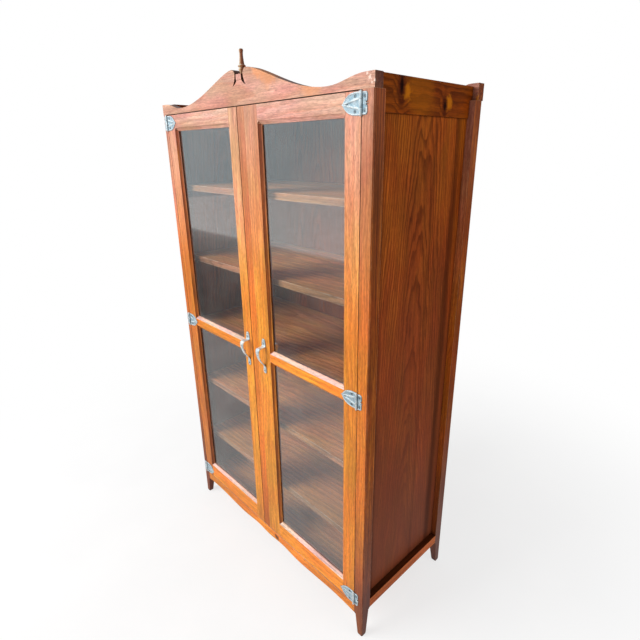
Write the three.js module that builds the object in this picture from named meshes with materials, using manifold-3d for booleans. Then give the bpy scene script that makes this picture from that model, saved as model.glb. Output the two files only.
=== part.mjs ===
// Glass display cabinet: a free-standing oak and pine case with two glazed doors on
// surface hinges, five housed shelves, and a scrolled crest board with a turned finial.
// Sizes are in millimetres. X runs to the right, Y to the back and Z up. While it is
// built, the front faces of the posts lie at y = 0; the whole is centred at the end.

import * as THREE from "three";
import { mergeVertices } from "three/addons/utils/BufferGeometryUtils.js";
import Module from "manifold-3d";

const wasm = await Module();
wasm.setup();

// Case
const caseWidth = 965;
const caseDepth = 436;
const postHeight = 1598;
const postSize = 35;
const leftPostRebate = 12;
const postArris = 2.5;
const jointClearance = 0.3;
const housingDepth = 6;
const housingShoulder = 3;

// Feet
const footShoulderDrop = 6;
const footStep = 1.5;
const footTopWidth = 29;
const footTipWidth = 19;
const footTipHeight = 6;
const footTipBevel = 1;

// Bottom of the case
const apronTop = 114.5;
const apronHeight = 34.5;
const apronThickness = 30;
const apronDip = 4;
const apronRise = 5;
const floorThickness = 20;
const rearRailThickness = 20;

// Sides
const sideRailHeight = 34;
const sideRailLip = 2.5;
const sidePanelThickness = 15;
const panelTongue = 8;
const sideBoardThickness = 19;
const sideBoardDrop = 44;
const sideBoardRise = 34;

// Top, shelves and back
const topBoardThickness = 19;
const shelfCount = 5;
const shelfThickness = 20;
const lowestShelfRise = 203.5;
const highestShelfDrop = 213;
const backBoardCount = 4;
const backBoardThickness = 10;
const backBoardInset = 5;
const backRebate = 8;
const backTongue = 4;
const backTongueThickness = 3;
const backBoardLap = 30;

// Crest board and its finial
const crestThickness = 26;
const crestCentreX = -7;
const hornHeight = 32;
const hornWidth = 24;
const dipHeight = 15;
const dipOffset = 348;
const lobeHeight = 91;
const lobeOffset = 33.5;
const flankHeight = 44;
const flankOffset = 190;
const flankFall = 0.325;
const plinthWidth = 24.5;
const plinthHeight = 14.5;
const plinthFoot = 63;
const plinthProud = 1;
const slitWidth = 7.3;
const slitFlare = 31;
const slitFoot = 49.5;
const finialHeight = 62.5;
const finialRadius = 11;
const dowelRadius = 4;
const dowelLength = 10;

// Gallery board at the back of the top
const galleryThickness = 26;
const galleryOverhang = 3;
const galleryHornHeight = 42;
const galleryHeight = 24;
const galleryCove = 60;

// Doors
const doorThickness = 22;
const doorEdgeGap = 2.5;
const doorHingeGap = 2;
const doorStopGap = 1;
const meetingGap = 3;
const meetingLineX = -28;
const hingeStileWidth = 47;
const leftMeetingStileWidth = 44;
const rightMeetingStileWidth = 61;
const edgeStripWidth = 33;
const topRailHeight = 40.5;
const middleRailHeight = 28;
const middleRailCentre = 851;
const bottomRailHeight = 58;
const stickingWidth = 10;
const stickingDepth = 8.5;
const lipDepth = 10.5;
const glassLap = 6;
const glassThickness = 3;
const tenonLength = 20;
const tenonThickness = 7;
const tenonShoulder = 9;

// Hinges
const hingeInset = 25;
const leafThickness = 1.8;
const doorLeafLength = 60;
const doorLeafHalfHeight = 24;
const leafArchPower = 3.8;
const leafArchEnd = 0.955;
const leafNibStart = 0.93;
const postLeafLength = 20;
const postLeafHalfHeight = 23;
const barrelRadius = 3.2;
const barrelLength = 48;
const barrelStandoff = 0.3;
const knuckleGap = 0.5;
const centreKnuckle = 16;
const pinRadius = 1.5;
const pinClearance = 0.4;
const ribHeight = 1.2;
const screwRadius = 1.8;
const screwHeadRadius = 3.4;

// Pulls
const pullLength = 123;
const pullReach = 30;
const pullCentre = 848.5;
const pullFootHalfWidth = 8;
const pullFootThickness = 2.4;
const pullBowThickness = 5;

// Places that follow from the sizes
const halfWidth = caseWidth / 2;
const insideX = halfWidth - postSize;
const rightHingeEdgeX = insideX;
const leftHingeEdgeX = -insideX - leftPostRebate;
const rearPostFrontY = caseDepth - postSize;
const backBoardFrontY = caseDepth - backBoardInset - backBoardThickness;
const insideBackY = backBoardFrontY - jointClearance;
const galleryFrontY = caseDepth + galleryOverhang - galleryThickness;
const doorBackY = doorThickness + doorStopGap;
const doorBottom = apronTop + doorEdgeGap;
const doorTop = postHeight - doorEdgeGap;
const doorHeight = doorTop - doorBottom;
const floorTop = apronTop + floorThickness;
const sideRailTop = floorTop + sideRailLip;
const sideRailUnderside = sideRailTop - sideRailHeight;
const apronUnderside = apronTop - apronHeight;
const topBoardUnderside = postHeight - topBoardThickness;
const sideBoardUnderside = postHeight - sideBoardDrop;
const housedX = insideX + housingDepth - jointClearance;
const shelfPitch =
    (topBoardUnderside - floorTop - lowestShelfRise - highestShelfDrop) / (shelfCount - 1);
const hingeAxisY = -barrelRadius - barrelStandoff;

// Finishes
const oak = new THREE.MeshStandardMaterial({ color: 0xc97a35, roughness: 0.45, metalness: 0 });
const pine = new THREE.MeshStandardMaterial({ color: 0x7c4120, roughness: 0.4, metalness: 0 });
const shelfPine = new THREE.MeshStandardMaterial({ color: 0x9a6238, roughness: 0.6, metalness: 0 });
const nickel = new THREE.MeshStandardMaterial({ color: 0xc9d6d8, roughness: 0.3, metalness: 1 });
const glass = new THREE.MeshStandardMaterial({
    color: 0xdfe8e6,
    roughness: 0.05,
    metalness: 0,
    transparent: true,
    opacity: 0.3,
});

// A closed three.js geometry as a solid that can be joined and cut.
function toSolid(geometry) {
    const bare = geometry.clone();
    bare.deleteAttribute("normal");
    bare.deleteAttribute("uv");
    const merged = mergeVertices(bare, 1e-4);
    const mesh = new wasm.Mesh({
        numProp: 3,
        vertProperties: new Float32Array(merged.attributes.position.array),
        triVerts: new Uint32Array(merged.index.array),
    });
    return new wasm.Manifold(mesh);
}

// A joined or cut solid back as a three.js geometry.
function toGeometry(solid) {
    const mesh = solid.getMesh();
    const geometry = new THREE.BufferGeometry();
    geometry.setAttribute("position", new THREE.BufferAttribute(mesh.vertProperties, 3));
    geometry.setIndex(new THREE.BufferAttribute(mesh.triVerts, 1));
    geometry.computeVertexNormals();
    return geometry;
}

function cut(geometry, tools) {
    let solid = toSolid(geometry);
    for (const tool of tools) {
        solid = solid.subtract(toSolid(tool));
    }
    return toGeometry(solid);
}

function join(geometries) {
    let solid = toSolid(geometries[0]);
    for (const other of geometries.slice(1)) {
        solid = solid.add(toSolid(other));
    }
    return toGeometry(solid);
}

// A board between two x, two y and two z values.
function board(x, y, z) {
    const geometry = new THREE.BoxGeometry(x[1] - x[0], y[1] - y[0], z[1] - z[0]);
    geometry.translate((x[0] + x[1]) / 2, (y[0] + y[1]) / 2, (z[0] + z[1]) / 2);
    return geometry;
}

// The same board, larger by a clearance all round, as a tool for its housing.
function housing(x, y, z, clearance = jointClearance) {
    return board(
        [x[0] - clearance, x[1] + clearance],
        [y[0] - clearance, y[1] + clearance],
        [z[0] - clearance, z[1] + clearance],
    );
}

// A face drawn in x and z, given a thickness from y0 back to y1.
function facePlate(shape, y0, y1, curveSegments = 12) {
    const geometry = new THREE.ExtrudeGeometry(shape, {
        depth: y1 - y0,
        bevelEnabled: false,
        curveSegments,
    });
    const upright = new THREE.Matrix4().set(1, 0, 0, 0, 0, 0, -1, y1, 0, 1, 0, 0, 0, 0, 0, 1);
    return geometry.applyMatrix4(upright);
}

// A section drawn in x and y, carried up from z0 to z1.
function upright(points, z0, z1) {
    const shape = new THREE.Shape(points.map(([x, y]) => new THREE.Vector2(x, y)));
    const geometry = new THREE.ExtrudeGeometry(shape, { depth: z1 - z0, bevelEnabled: false });
    return geometry.translate(0, 0, z0);
}

// A section drawn in y and z, carried across from x0 to x1.
function across(points, x0, x1) {
    const shape = new THREE.Shape(points.map(([y, z]) => new THREE.Vector2(y, z)));
    const geometry = new THREE.ExtrudeGeometry(shape, { depth: x1 - x0, bevelEnabled: false });
    const sideways = new THREE.Matrix4().set(0, 0, 1, x0, 1, 0, 0, 0, 0, 1, 0, 0, 0, 0, 0, 1);
    return geometry.applyMatrix4(sideways);
}

// A skin through rings of points, closed at both ends or joined into a loop.
function loft(rings, closedLoop = false) {
    const sides = rings[0].length;
    const positions = rings.flat().flatMap((point) => [point.x, point.y, point.z]);
    const index = [];
    const spans = closedLoop ? rings.length : rings.length - 1;
    for (let ring = 0; ring < spans; ring += 1) {
        const here = ring * sides;
        const next = ((ring + 1) % rings.length) * sides;
        for (let side = 0; side < sides; side += 1) {
            const other = (side + 1) % sides;
            index.push(here + side, here + other, next + other);
            index.push(here + side, next + other, next + side);
        }
    }
    if (!closedLoop) {
        const last = (rings.length - 1) * sides;
        for (let side = 1; side < sides - 1; side += 1) {
            index.push(0, side + 1, side);
            index.push(last, last + side, last + side + 1);
        }
    }
    const geometry = new THREE.BufferGeometry();
    geometry.setAttribute("position", new THREE.Float32BufferAttribute(positions, 3));
    geometry.setIndex(signedVolume(positions, index) < 0 ? index.reverse() : index);
    geometry.computeVertexNormals();
    return geometry;
}

// Six times the volume that a skin of triangles holds, negative when it is inside out.
function signedVolume(positions, index) {
    const corner = (n) => new THREE.Vector3().fromArray(positions, 3 * index[n]);
    let total = 0;
    for (let n = 0; n < index.length; n += 3) {
        total += corner(n).dot(corner(n + 1).cross(corner(n + 2)));
    }
    return total;
}

// One named piece. Its edges are kept crisp by shading each facet flat.
function piece(name, geometry, material) {
    const mesh = new THREE.Mesh(geometry, material);
    mesh.name = name;
    return mesh;
}

// Posts. The two inner faces of a foot draw in below the rails, with a short shoulder,
// to a small blunt tip, while the outer arris runs straight down.
function footWidth(z, shoulder) {
    const share = (z - footTipHeight) / (shoulder - footTipHeight);
    return THREE.MathUtils.lerp(footTipWidth, footTopWidth, share);
}

function postGeometry(sideX, sideY) {
    const shoulderX = apronUnderside - footStep;
    const shoulderY = sideRailUnderside - footShoulderDrop;
    const stages = [
        [0, footTipWidth, footTipWidth, footTipBevel],
        [footTipHeight, footTipWidth, footTipWidth, 0],
        [shoulderX, footTopWidth, footWidth(shoulderX, shoulderY), 0],
        [apronUnderside, postSize, footWidth(apronUnderside, shoulderY), 0],
        [shoulderY, postSize, footTopWidth, 0],
        [sideRailUnderside, postSize, postSize, 0],
        [postHeight, postSize, postSize, 0],
    ];
    const rings = stages.map(([z, alongX, alongY, inset]) => {
        const section = [
            [inset + postArris, inset],
            [alongX - inset, inset],
            [alongX - inset, alongY - inset],
            [inset, alongY - inset],
            [inset, inset + postArris],
        ];
        return section.map(([x, y]) => new THREE.Vector3(
            sideX * (halfWidth - x),
            sideY < 0 ? y : caseDepth - y,
            z,
        ));
    });
    return loft(rings);
}

const panelInner = insideX;
const panelOuter = insideX + sidePanelThickness;
const tongueInner = (panelInner + panelOuter - panelTongue) / 2;
const tongueOuter = tongueInner + panelTongue;
const tongueY = [postSize - panelTongue, rearPostFrontY + panelTongue];

// Both ends of an interval on the given side of the case, in rising order.
function onSide(side, inner, outer) {
    return side > 0 ? [inner, outer] : [-outer, -inner];
}

function post(name, sideX, sideY, doorRebate = 0) {
    const groove = housing(
        onSide(sideX, tongueInner, tongueOuter),
        tongueY,
        [sideRailTop, sideBoardUnderside],
    );
    const tools = [groove];
    if (doorRebate > 0) {
        tools.push(board(
            onSide(sideX, insideX - doorRebate, insideX + doorRebate),
            [-doorBackY, doorBackY],
            [apronTop, postHeight + doorRebate],
        ));
    }
    if (sideY > 0) {
        tools.push(board(
            onSide(sideX, insideX - backRebate, insideX + backRebate),
            [insideBackY, caseDepth + backRebate],
            [apronUnderside, postHeight + backRebate],
        ));
    }
    return piece(name, cut(postGeometry(sideX, sideY), tools), oak);
}

// Room that a board's corners leave for the four posts.
function postRoom(z0, z1) {
    const tall = [z0 - postSize, z1 + postSize];
    const rooms = [];
    for (const side of [-1, 1]) {
        const x = onSide(side, insideX, halfWidth);
        rooms.push(housing(x, [-postSize, postSize], tall));
        rooms.push(housing(x, [rearPostFrontY, caseDepth + postSize], tall));
    }
    return rooms;
}

// Floor, shelves and top: boards notched round the posts. A lip along each end, lower
// than the board's face, is housed in the side. The face ends short of the lip, and on
// the top board it ends short of the crest and the gallery too.
function housedBoard(name, y, z0, z1, material, faceY = y) {
    const lip = board([-housedX, housedX], y, [z0, z1 - housingShoulder]);
    const faceX = insideX - jointClearance;
    const face = board([-faceX, faceX], faceY, [z0, z1]);
    return piece(name, cut(join([lip, face]), postRoom(z0, z1)), material);
}

function shelfTop(index) {
    return floorTop + lowestShelfRise + index * shelfPitch;
}

// Room in a side for the lip of a housed board.
function lipHousing(z0, z1) {
    return housing([-housedX, housedX], [0, caseDepth], [z0, z1 - housingShoulder]);
}

function sidePanel(name, side) {
    const body = board(
        onSide(side, panelInner, panelOuter),
        [postSize, rearPostFrontY],
        [sideRailTop, sideBoardUnderside],
    );
    const tongues = board(
        onSide(side, tongueInner, tongueOuter),
        tongueY,
        [sideRailTop + jointClearance, sideBoardUnderside - jointClearance],
    );
    const housings = [];
    for (let index = 0; index < shelfCount; index += 1) {
        const top = shelfTop(index);
        housings.push(lipHousing(top - shelfThickness, top));
    }
    return piece(name, cut(join([body, tongues]), housings), pine);
}

function sideRail(name, side) {
    const rail = board(
        onSide(side, insideX, halfWidth),
        [postSize, rearPostFrontY],
        [sideRailUnderside, sideRailTop],
    );
    return piece(name, cut(rail, [lipHousing(apronTop, floorTop)]), pine);
}

// The board at the head of a side drops between the posts and runs over their tops,
// from the back of the crest board to the front of the gallery board.
function sideBoard(name, side) {
    const outline = [
        [postSize, sideBoardUnderside],
        [rearPostFrontY, sideBoardUnderside],
        [rearPostFrontY, postHeight],
        [galleryFrontY, postHeight],
        [galleryFrontY, postHeight + sideBoardRise],
        [crestThickness, postHeight + sideBoardRise],
        [crestThickness, postHeight],
        [postSize, postHeight],
    ];
    const [x0, x1] = onSide(side, insideX, insideX + sideBoardThickness);
    const room = lipHousing(topBoardUnderside, postHeight);
    return piece(name, cut(across(outline, x0, x1), [room]), pine);
}

// The apron's lower edge waves gently, with a low pendant at its centre.
function apron() {
    const wave = [
        [-0.5, 0],
        [-0.39, apronRise],
        [-0.2, -apronDip],
        [-0.09, apronRise * 0.7],
        [0, -apronDip * 0.4],
        [0.09, apronRise * 0.7],
        [0.2, -apronDip],
        [0.39, apronRise],
        [0.5, 0],
    ];
    const shape = new THREE.Shape();
    shape.moveTo(insideX, apronTop);
    shape.lineTo(-insideX, apronTop);
    const points = wave.map(([along, rise]) => new THREE.Vector2(
        along * 2 * insideX,
        apronUnderside + rise,
    ));
    shape.lineTo(points[0].x, points[0].y);
    shape.splineThru(points.slice(1));
    return piece("front_apron", facePlate(shape, 0, apronThickness, 4), oak);
}

// Half of the crest's outline, from the centre line to the end. Run on both sides of
// the centre, it gives two lobes, the narrow slits beside the plinth, and two horns.
function crestHalf(side, endX) {
    const base = postHeight;
    const at = (x, height) => new THREE.Vector2(crestCentreX + side * x, base + height);
    const half = plinthWidth / 2;
    const waist = (lobeHeight + plinthFoot) / 2;
    const hornStart = Math.abs(endX - crestCentreX) - hornWidth;
    const between = (hornStart - dipOffset) * 0.38;
    const path = new THREE.Path();
    const curve = (a, b, c) => path.bezierCurveTo(a.x, a.y, b.x, b.y, c.x, c.y);
    const bend = (a, b) => path.quadraticCurveTo(a.x, a.y, b.x, b.y);
    const start = at(half, plinthFoot);
    path.moveTo(start.x, start.y);
    bend(at(half + 1, (plinthFoot + slitFoot) / 2), at(slitFlare, slitFoot));
    bend(at(half + slitWidth + 2, plinthFoot - 2), at(half + slitWidth, waist));
    bend(at(half + slitWidth + 1, lobeHeight - 3), at(lobeOffset, lobeHeight));
    curve(
        at(lobeOffset + 30, lobeHeight),
        at(flankOffset - 60, flankHeight + 60 * flankFall),
        at(flankOffset, flankHeight),
    );
    curve(
        at(flankOffset + 60, flankHeight - 60 * flankFall),
        at(dipOffset - 45, dipHeight),
        at(dipOffset, dipHeight),
    );
    curve(
        at(dipOffset + between, dipHeight),
        at(hornStart - between, hornHeight),
        at(hornStart, hornHeight),
    );
    return path.getPoints(8);
}

function crestBoard() {
    const right = crestHalf(1, halfWidth);
    const left = crestHalf(-1, -halfWidth).reverse();
    const outline = [
        new THREE.Vector2(-halfWidth, postHeight),
        new THREE.Vector2(halfWidth, postHeight),
        new THREE.Vector2(halfWidth, postHeight + hornHeight),
        ...right.reverse(),
        ...left.reverse(),
        new THREE.Vector2(-halfWidth, postHeight + hornHeight),
    ];
    return piece("crest_board", facePlate(new THREE.Shape(outline), 0, crestThickness), oak);
}

// The square plinth stands on the tongue between the slits and takes the finial's dowel.
function finialPlinth() {
    const bottom = postHeight + plinthFoot;
    const block = board(
        [crestCentreX - plinthWidth / 2, crestCentreX + plinthWidth / 2],
        [-plinthProud, crestThickness + plinthProud],
        [bottom, bottom + plinthHeight],
    );
    const hole = new THREE.CylinderGeometry(
        dowelRadius + jointClearance,
        dowelRadius + jointClearance,
        dowelLength + plinthHeight,
        16,
    );
    hole.rotateX(Math.PI / 2);
    hole.translate(
        crestCentreX,
        crestThickness / 2,
        bottom + plinthHeight - dowelLength - jointClearance + (dowelLength + plinthHeight) / 2,
    );
    return piece("finial_plinth", cut(block, [hole]), oak);
}

// A turned finial: foot, urn, flange, slender spire and a small knob.
function finial() {
    const h = finialHeight;
    const r = finialRadius;
    const turning = new THREE.SplineCurve([
        [0.42, 0],
        [0.42, 0.06],
        [0.66, 0.15],
        [0.73, 0.2],
        [0.58, 0.25],
        [0.94, 0.3],
        [0.9, 0.335],
        [0.57, 0.385],
        [0.42, 0.46],
        [0.34, 0.54],
        [0.29, 0.67],
        [0.31, 0.8],
        [0.48, 0.92],
        [0.4, 0.97],
    ].map(([radius, height]) => new THREE.Vector2(radius * r, height * h)));
    const profile = [
        new THREE.Vector2(0, -dowelLength),
        new THREE.Vector2(dowelRadius, -dowelLength),
        new THREE.Vector2(dowelRadius, 0),
        ...turning.getPoints(26),
        new THREE.Vector2(0, h),
    ];
    const geometry = new THREE.LatheGeometry(profile, 18);
    geometry.rotateX(Math.PI / 2);
    const mesh = piece("finial", toGeometry(toSolid(geometry)), oak);
    mesh.position.set(crestCentreX, crestThickness / 2, postHeight + plinthFoot + plinthHeight);
    return mesh;
}

// A low board across the back of the top, with a horn at each end like the crest's.
function galleryBoard() {
    const top = postHeight + galleryHornHeight;
    const low = postHeight + galleryHeight;
    const hornStart = halfWidth - hornWidth;
    const coveEnd = hornStart - galleryCove;
    const shape = new THREE.Shape();
    shape.moveTo(-halfWidth, postHeight);
    shape.lineTo(halfWidth, postHeight);
    shape.lineTo(halfWidth, top);
    shape.lineTo(hornStart, top);
    shape.bezierCurveTo(
        hornStart - galleryCove * 0.4,
        top,
        hornStart - galleryCove * 0.45,
        low,
        coveEnd,
        low,
    );
    shape.lineTo(-coveEnd, low);
    shape.bezierCurveTo(
        -hornStart + galleryCove * 0.45,
        low,
        -hornStart + galleryCove * 0.4,
        top,
        -hornStart,
        top,
    );
    shape.lineTo(-halfWidth, top);
    const geometry = facePlate(shape, galleryFrontY, galleryFrontY + galleryThickness, 8);
    return piece("rear_gallery_board", geometry, oak);
}

// Back boards stand in the rebates of the rear posts, each with a tongue in the next.
function backBoard(index) {
    const span = 2 * (insideX + backRebate - jointClearance);
    const width = span / backBoardCount;
    const left = -span / 2 + index * width;
    const right = left + width;
    const front = backBoardFrontY;
    const back = backBoardFrontY + backBoardThickness;
    const middle = (front + back) / 2;
    const tongue = backTongueThickness / 2;
    const points = [[left, front]];
    const lastBoard = index === backBoardCount - 1;
    const edge = lastBoard ? right : right - jointClearance;
    points.push([edge, front]);
    if (!lastBoard) {
        points.push([edge, middle - tongue]);
        points.push([edge + backTongue, middle - tongue]);
        points.push([edge + backTongue, middle + tongue]);
        points.push([edge, middle + tongue]);
    }
    points.push([edge, back]);
    points.push([left, back]);
    if (index > 0) {
        const slot = tongue + jointClearance;
        points.push([left, middle + slot]);
        points.push([left + backTongue + jointClearance, middle + slot]);
        points.push([left + backTongue + jointClearance, middle - slot]);
        points.push([left, middle - slot]);
    }
    const bottom = apronTop - backBoardLap;
    return piece(`back_board_${index + 1}`, upright(points, bottom, postHeight), pine);
}

function rearRail() {
    const geometry = board(
        [-insideX, insideX],
        [insideBackY - rearRailThickness, insideBackY],
        [apronUnderside, apronTop],
    );
    return piece("rear_bottom_rail", geometry, pine);
}

// The moulded inner edge of a door member, as points of depth against distance from
// the front arris: a quarter-round, a square lip in front of the glass, and the rebate.
function stickingProfile() {
    const steps = 4;
    const points = [];
    for (let step = 0; step <= steps; step += 1) {
        const angle = (step / steps) * (Math.PI / 2);
        const along = stickingWidth * (1 - Math.cos(angle));
        const deep = stickingDepth * Math.sin(angle);
        const straight = (step / steps);
        points.push([
            (along + 2 * straight * stickingWidth) / 3,
            (deep + 2 * straight * stickingDepth) / 3,
        ]);
    }
    points.push([stickingWidth, lipDepth]);
    points.push([stickingWidth - glassLap, lipDepth]);
    points.push([stickingWidth - glassLap, doorThickness]);
    return points;
}

// A stile's plan: plain outer edge at x0, moulded inner edge whose arris is at x1.
function stilePlan(x0, x1) {
    const inward = Math.sign(x1 - x0);
    const moulded = stickingProfile().map(([along, deep]) => [x1 + inward * along, deep]);
    return [[x0, 0], ...moulded, [x0, doorThickness]];
}

// A rail's section in y and z: moulded below, above or on both edges.
function railSection(z0, z1, mouldedBelow, mouldedAbove) {
    const profile = stickingProfile();
    const lower = mouldedBelow ? profile.map(([along, deep]) => [deep, z0 - along]) : [
        [0, z0],
        [doorThickness, z0],
    ];
    const upper = mouldedAbove ? profile.map(([along, deep]) => [deep, z1 + along]) : [
        [0, z1],
        [doorThickness, z1],
    ];
    return [...lower, ...upper.reverse()];
}

function tenonBox(x0, x1, z0, z1) {
    const front = (doorThickness - tenonThickness) / 2;
    return { x: [x0, x1], y: [front, front + tenonThickness], z: [z0, z1] };
}

// The scooped fillet where the top rail meets a stile: a square block less a dished cone.
function cornerFillet(arrisX, towards, arrisZ) {
    const radius = stickingWidth;
    const [x0, x1] = towards > 0 ? [arrisX, arrisX + radius] : [arrisX - radius, arrisX];
    const block = board([x0, x1], [0, stickingDepth], [arrisZ - radius, arrisZ + 1]);
    const dish = stickingProfile()
        .slice(0, 5)
        .map(([along, deep]) => new THREE.Vector2(radius - along, deep));
    const outer = dish[0];
    dish[4].x = 0;
    const profile = [new THREE.Vector2(0, -1), new THREE.Vector2(outer.x, -1), ...dish];
    const cone = new THREE.LatheGeometry(profile, 24);
    cone.translate(arrisX + towards * radius, 0, arrisZ - radius);
    return toSolid(block).subtract(toSolid(cone));
}

// A frame of one section carried round a rectangle with mitred corners. The section's
// points are distances in from the outer edge, against depth.
function mitredFrame(section, x, z) {
    const corners = [
        [x[0], z[0], 1, 1],
        [x[1], z[0], -1, 1],
        [x[1], z[1], -1, -1],
        [x[0], z[1], 1, -1],
    ];
    const rings = corners.map(([cx, cz, dx, dz]) => section.map(([inward, deep]) => (
        new THREE.Vector3(cx + dx * inward, deep, cz + dz * inward)
    )));
    return loft(rings, true);
}

// A strap pull along z, standing off the face at y = 0. From the upper foot the strap
// steps straight out, and from there it sweeps down in a long curve to the lower foot.
function pullGeometry() {
    const half = pullLength / 2;
    const foot = pullFootThickness / 2;
    const out = pullReach - pullBowThickness / 2;
    const route = [
        [-1, foot],
        [-0.82, foot],
        [-0.64, foot * 1.1],
        [-0.54, out * 0.13],
        [-0.43, out * 0.29],
        [-0.27, out * 0.55],
        [-0.1, out * 0.78],
        [0.1, out * 0.94],
        [0.29, out],
        [0.42, out * 0.99],
        [0.51, out * 0.86],
        [0.535, out * 0.55],
        [0.55, out * 0.22],
        [0.6, foot * 1.3],
        [0.7, foot],
        [0.84, foot],
        [1, foot],
    ];
    const path = new THREE.CatmullRomCurve3(
        route.map(([along, away]) => new THREE.Vector3(0, -away, along * half)),
        false,
        "centripetal",
    );
    const widths = [
        [0, 0.3],
        [0.04, 0.72],
        [0.09, 0.84],
        [0.14, 0.74],
        [0.19, 0.56],
        [0.3, 0.68],
        [0.45, 0.84],
        [0.6, 0.94],
        [0.66, 0.9],
        [0.76, 0.76],
        [0.805, 0.82],
        [0.84, 1],
        [0.93, 0.9],
        [0.965, 0.66],
        [1, 0.3],
    ];
    const widthAt = (share) => {
        const next = Math.max(1, widths.findIndex(([along]) => along >= share));
        const [from, narrow] = widths[next - 1];
        const [to, broad] = widths[next];
        return THREE.MathUtils.mapLinear(share, from, to, narrow, broad) * pullFootHalfWidth;
    };
    const steps = 40;
    const sides = 12;
    const rings = [];
    for (let step = 0; step <= steps; step += 1) {
        const t = step / steps;
        const centre = path.getPointAt(t);
        const tangent = path.getTangentAt(t);
        const outward = new THREE.Vector3(0, -tangent.z, tangent.y);
        const rise = THREE.MathUtils.smoothstep(-centre.y, pullFootThickness, pullReach * 0.45);
        const thick = THREE.MathUtils.lerp(pullFootThickness, pullBowThickness, rise) / 2;
        const wide = widthAt(t);
        const squareness = THREE.MathUtils.lerp(0.5, 0.85, rise);
        const ring = [];
        for (let side = 0; side < sides; side += 1) {
            const angle = (side / sides) * 2 * Math.PI;
            const bulge = (value) => Math.sign(value) * Math.abs(value) ** squareness;
            const deep = bulge(Math.sin(angle)) * thick;
            ring.push(new THREE.Vector3(
                bulge(Math.cos(angle)) * wide,
                centre.y + outward.y * deep,
                centre.z + outward.z * deep,
            ));
        }
        rings.push(ring);
    }
    const behindFace = board([-pullLength, pullLength], [0, pullReach], [-pullLength, pullLength]);
    return cut(loft(rings), [behindFace]);
}

// Hinge leaves, drawn round the barrel's axis at x = 0 with their backs at y = 0.
// side is the direction in which the leaf lies.
// The leaf on the door is a full arch: its half height falls from the full value at
// the barrel as one less the distance along it to a power. It ends in a small point.
function doorLeafShape(side) {
    const steps = 13;
    const upper = [];
    for (let step = 0; step <= steps; step += 1) {
        const share = (step / steps) * leafNibStart;
        const half = 1 - (share / leafArchEnd) ** leafArchPower;
        upper.push([share * doorLeafLength, doorLeafHalfHeight * half]);
    }
    const lower = upper.map(([x, z]) => [x, -z]);
    const points = [...upper, [doorLeafLength, 0], ...lower.reverse()];
    return new THREE.Shape(points.map(([x, z]) => new THREE.Vector2(side * x, z)));
}

function postLeafShape(side) {
    const h = postLeafHalfHeight;
    const long = postLeafLength;
    const lobe = long * 0.86;
    const shape = new THREE.Shape();
    shape.moveTo(0, -h);
    shape.lineTo(side * lobe * 0.7, -h);
    shape.quadraticCurveTo(side * lobe, -h, side * lobe, -h * 0.7);
    shape.lineTo(side * lobe, -h * 0.34);
    shape.quadraticCurveTo(side * lobe, -h * 0.14, side * lobe * 0.92, -h * 0.12);
    shape.lineTo(side * long, 0);
    shape.lineTo(side * lobe * 0.92, h * 0.12);
    shape.quadraticCurveTo(side * lobe, h * 0.14, side * lobe, h * 0.34);
    shape.lineTo(side * lobe, h * 0.7);
    shape.quadraticCurveTo(side * lobe, h, side * lobe * 0.7, h);
    shape.lineTo(0, h);
    return shape;
}

function barrel(radius, z0, z1, sides = 16) {
    const geometry = new THREE.CylinderGeometry(radius, radius, z1 - z0, sides);
    geometry.rotateX(Math.PI / 2);
    return geometry.translate(0, hingeAxisY, (z0 + z1) / 2);
}

// A countersunk hole for a wood screw.
function screwHole(x, z) {
    const profile = [
        new THREE.Vector2(0, -2),
        new THREE.Vector2(screwRadius, -2),
        new THREE.Vector2(screwRadius, leafThickness * 0.35),
        new THREE.Vector2(screwHeadRadius, leafThickness + 0.02),
        new THREE.Vector2(screwHeadRadius, leafThickness + ribHeight + 2),
        new THREE.Vector2(0, leafThickness + ribHeight + 2),
    ];
    const geometry = new THREE.LatheGeometry(profile, 12);
    geometry.rotateX(Math.PI);
    return geometry.translate(x, 0, z);
}

// A raised rib that tapers from the barrel towards the leaf's point.
function leafRib(side, x0, x1, z0, z1, half0, half1) {
    const shape = new THREE.Shape();
    shape.moveTo(side * x0, z0 - half0);
    shape.lineTo(side * x1, z1 - half1);
    shape.lineTo(side * x1, z1 + half1);
    shape.lineTo(side * x0, z0 + half0);
    return facePlate(shape, -leafThickness - ribHeight, -leafThickness / 2);
}

// A leaf with its knuckles, cut clear of the other leaf's knuckles.
function hingeLeaf(side, shape, ribs, holes, ownKnuckles, otherKnuckles) {
    const clearRadius = barrelRadius + knuckleGap;
    const gapSide = board([-side * 99, 0].sort((a, b) => a - b), [-99, 99], [-99, 99]);
    let solid = toSolid(facePlate(shape, -leafThickness, 0, 8)).subtract(toSolid(gapSide));
    for (const rib of ribs) {
        solid = solid.add(toSolid(rib));
    }
    for (const [z0, z1] of otherKnuckles) {
        solid = solid.subtract(toSolid(barrel(clearRadius, z0 - knuckleGap, z1 + knuckleGap, 24)));
        const [x0, x1] = [-clearRadius, clearRadius];
        solid = solid.subtract(toSolid(board(
            [x0, x1],
            [hingeAxisY, 9],
            [z0 - knuckleGap, z1 + knuckleGap],
        )));
    }
    for (const [z0, z1] of ownKnuckles) {
        solid = solid.add(toSolid(barrel(barrelRadius, z0, z1)));
    }
    for (const [x, z] of holes) {
        solid = solid.subtract(toSolid(screwHole(side * x, z)));
    }
    return solid;
}

const halfCentre = centreKnuckle / 2;
const centreSpan = [[-halfCentre, halfCentre]];
const outerSpans = [
    [-barrelLength / 2, -halfCentre - knuckleGap],
    [halfCentre + knuckleGap, barrelLength / 2],
];

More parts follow.
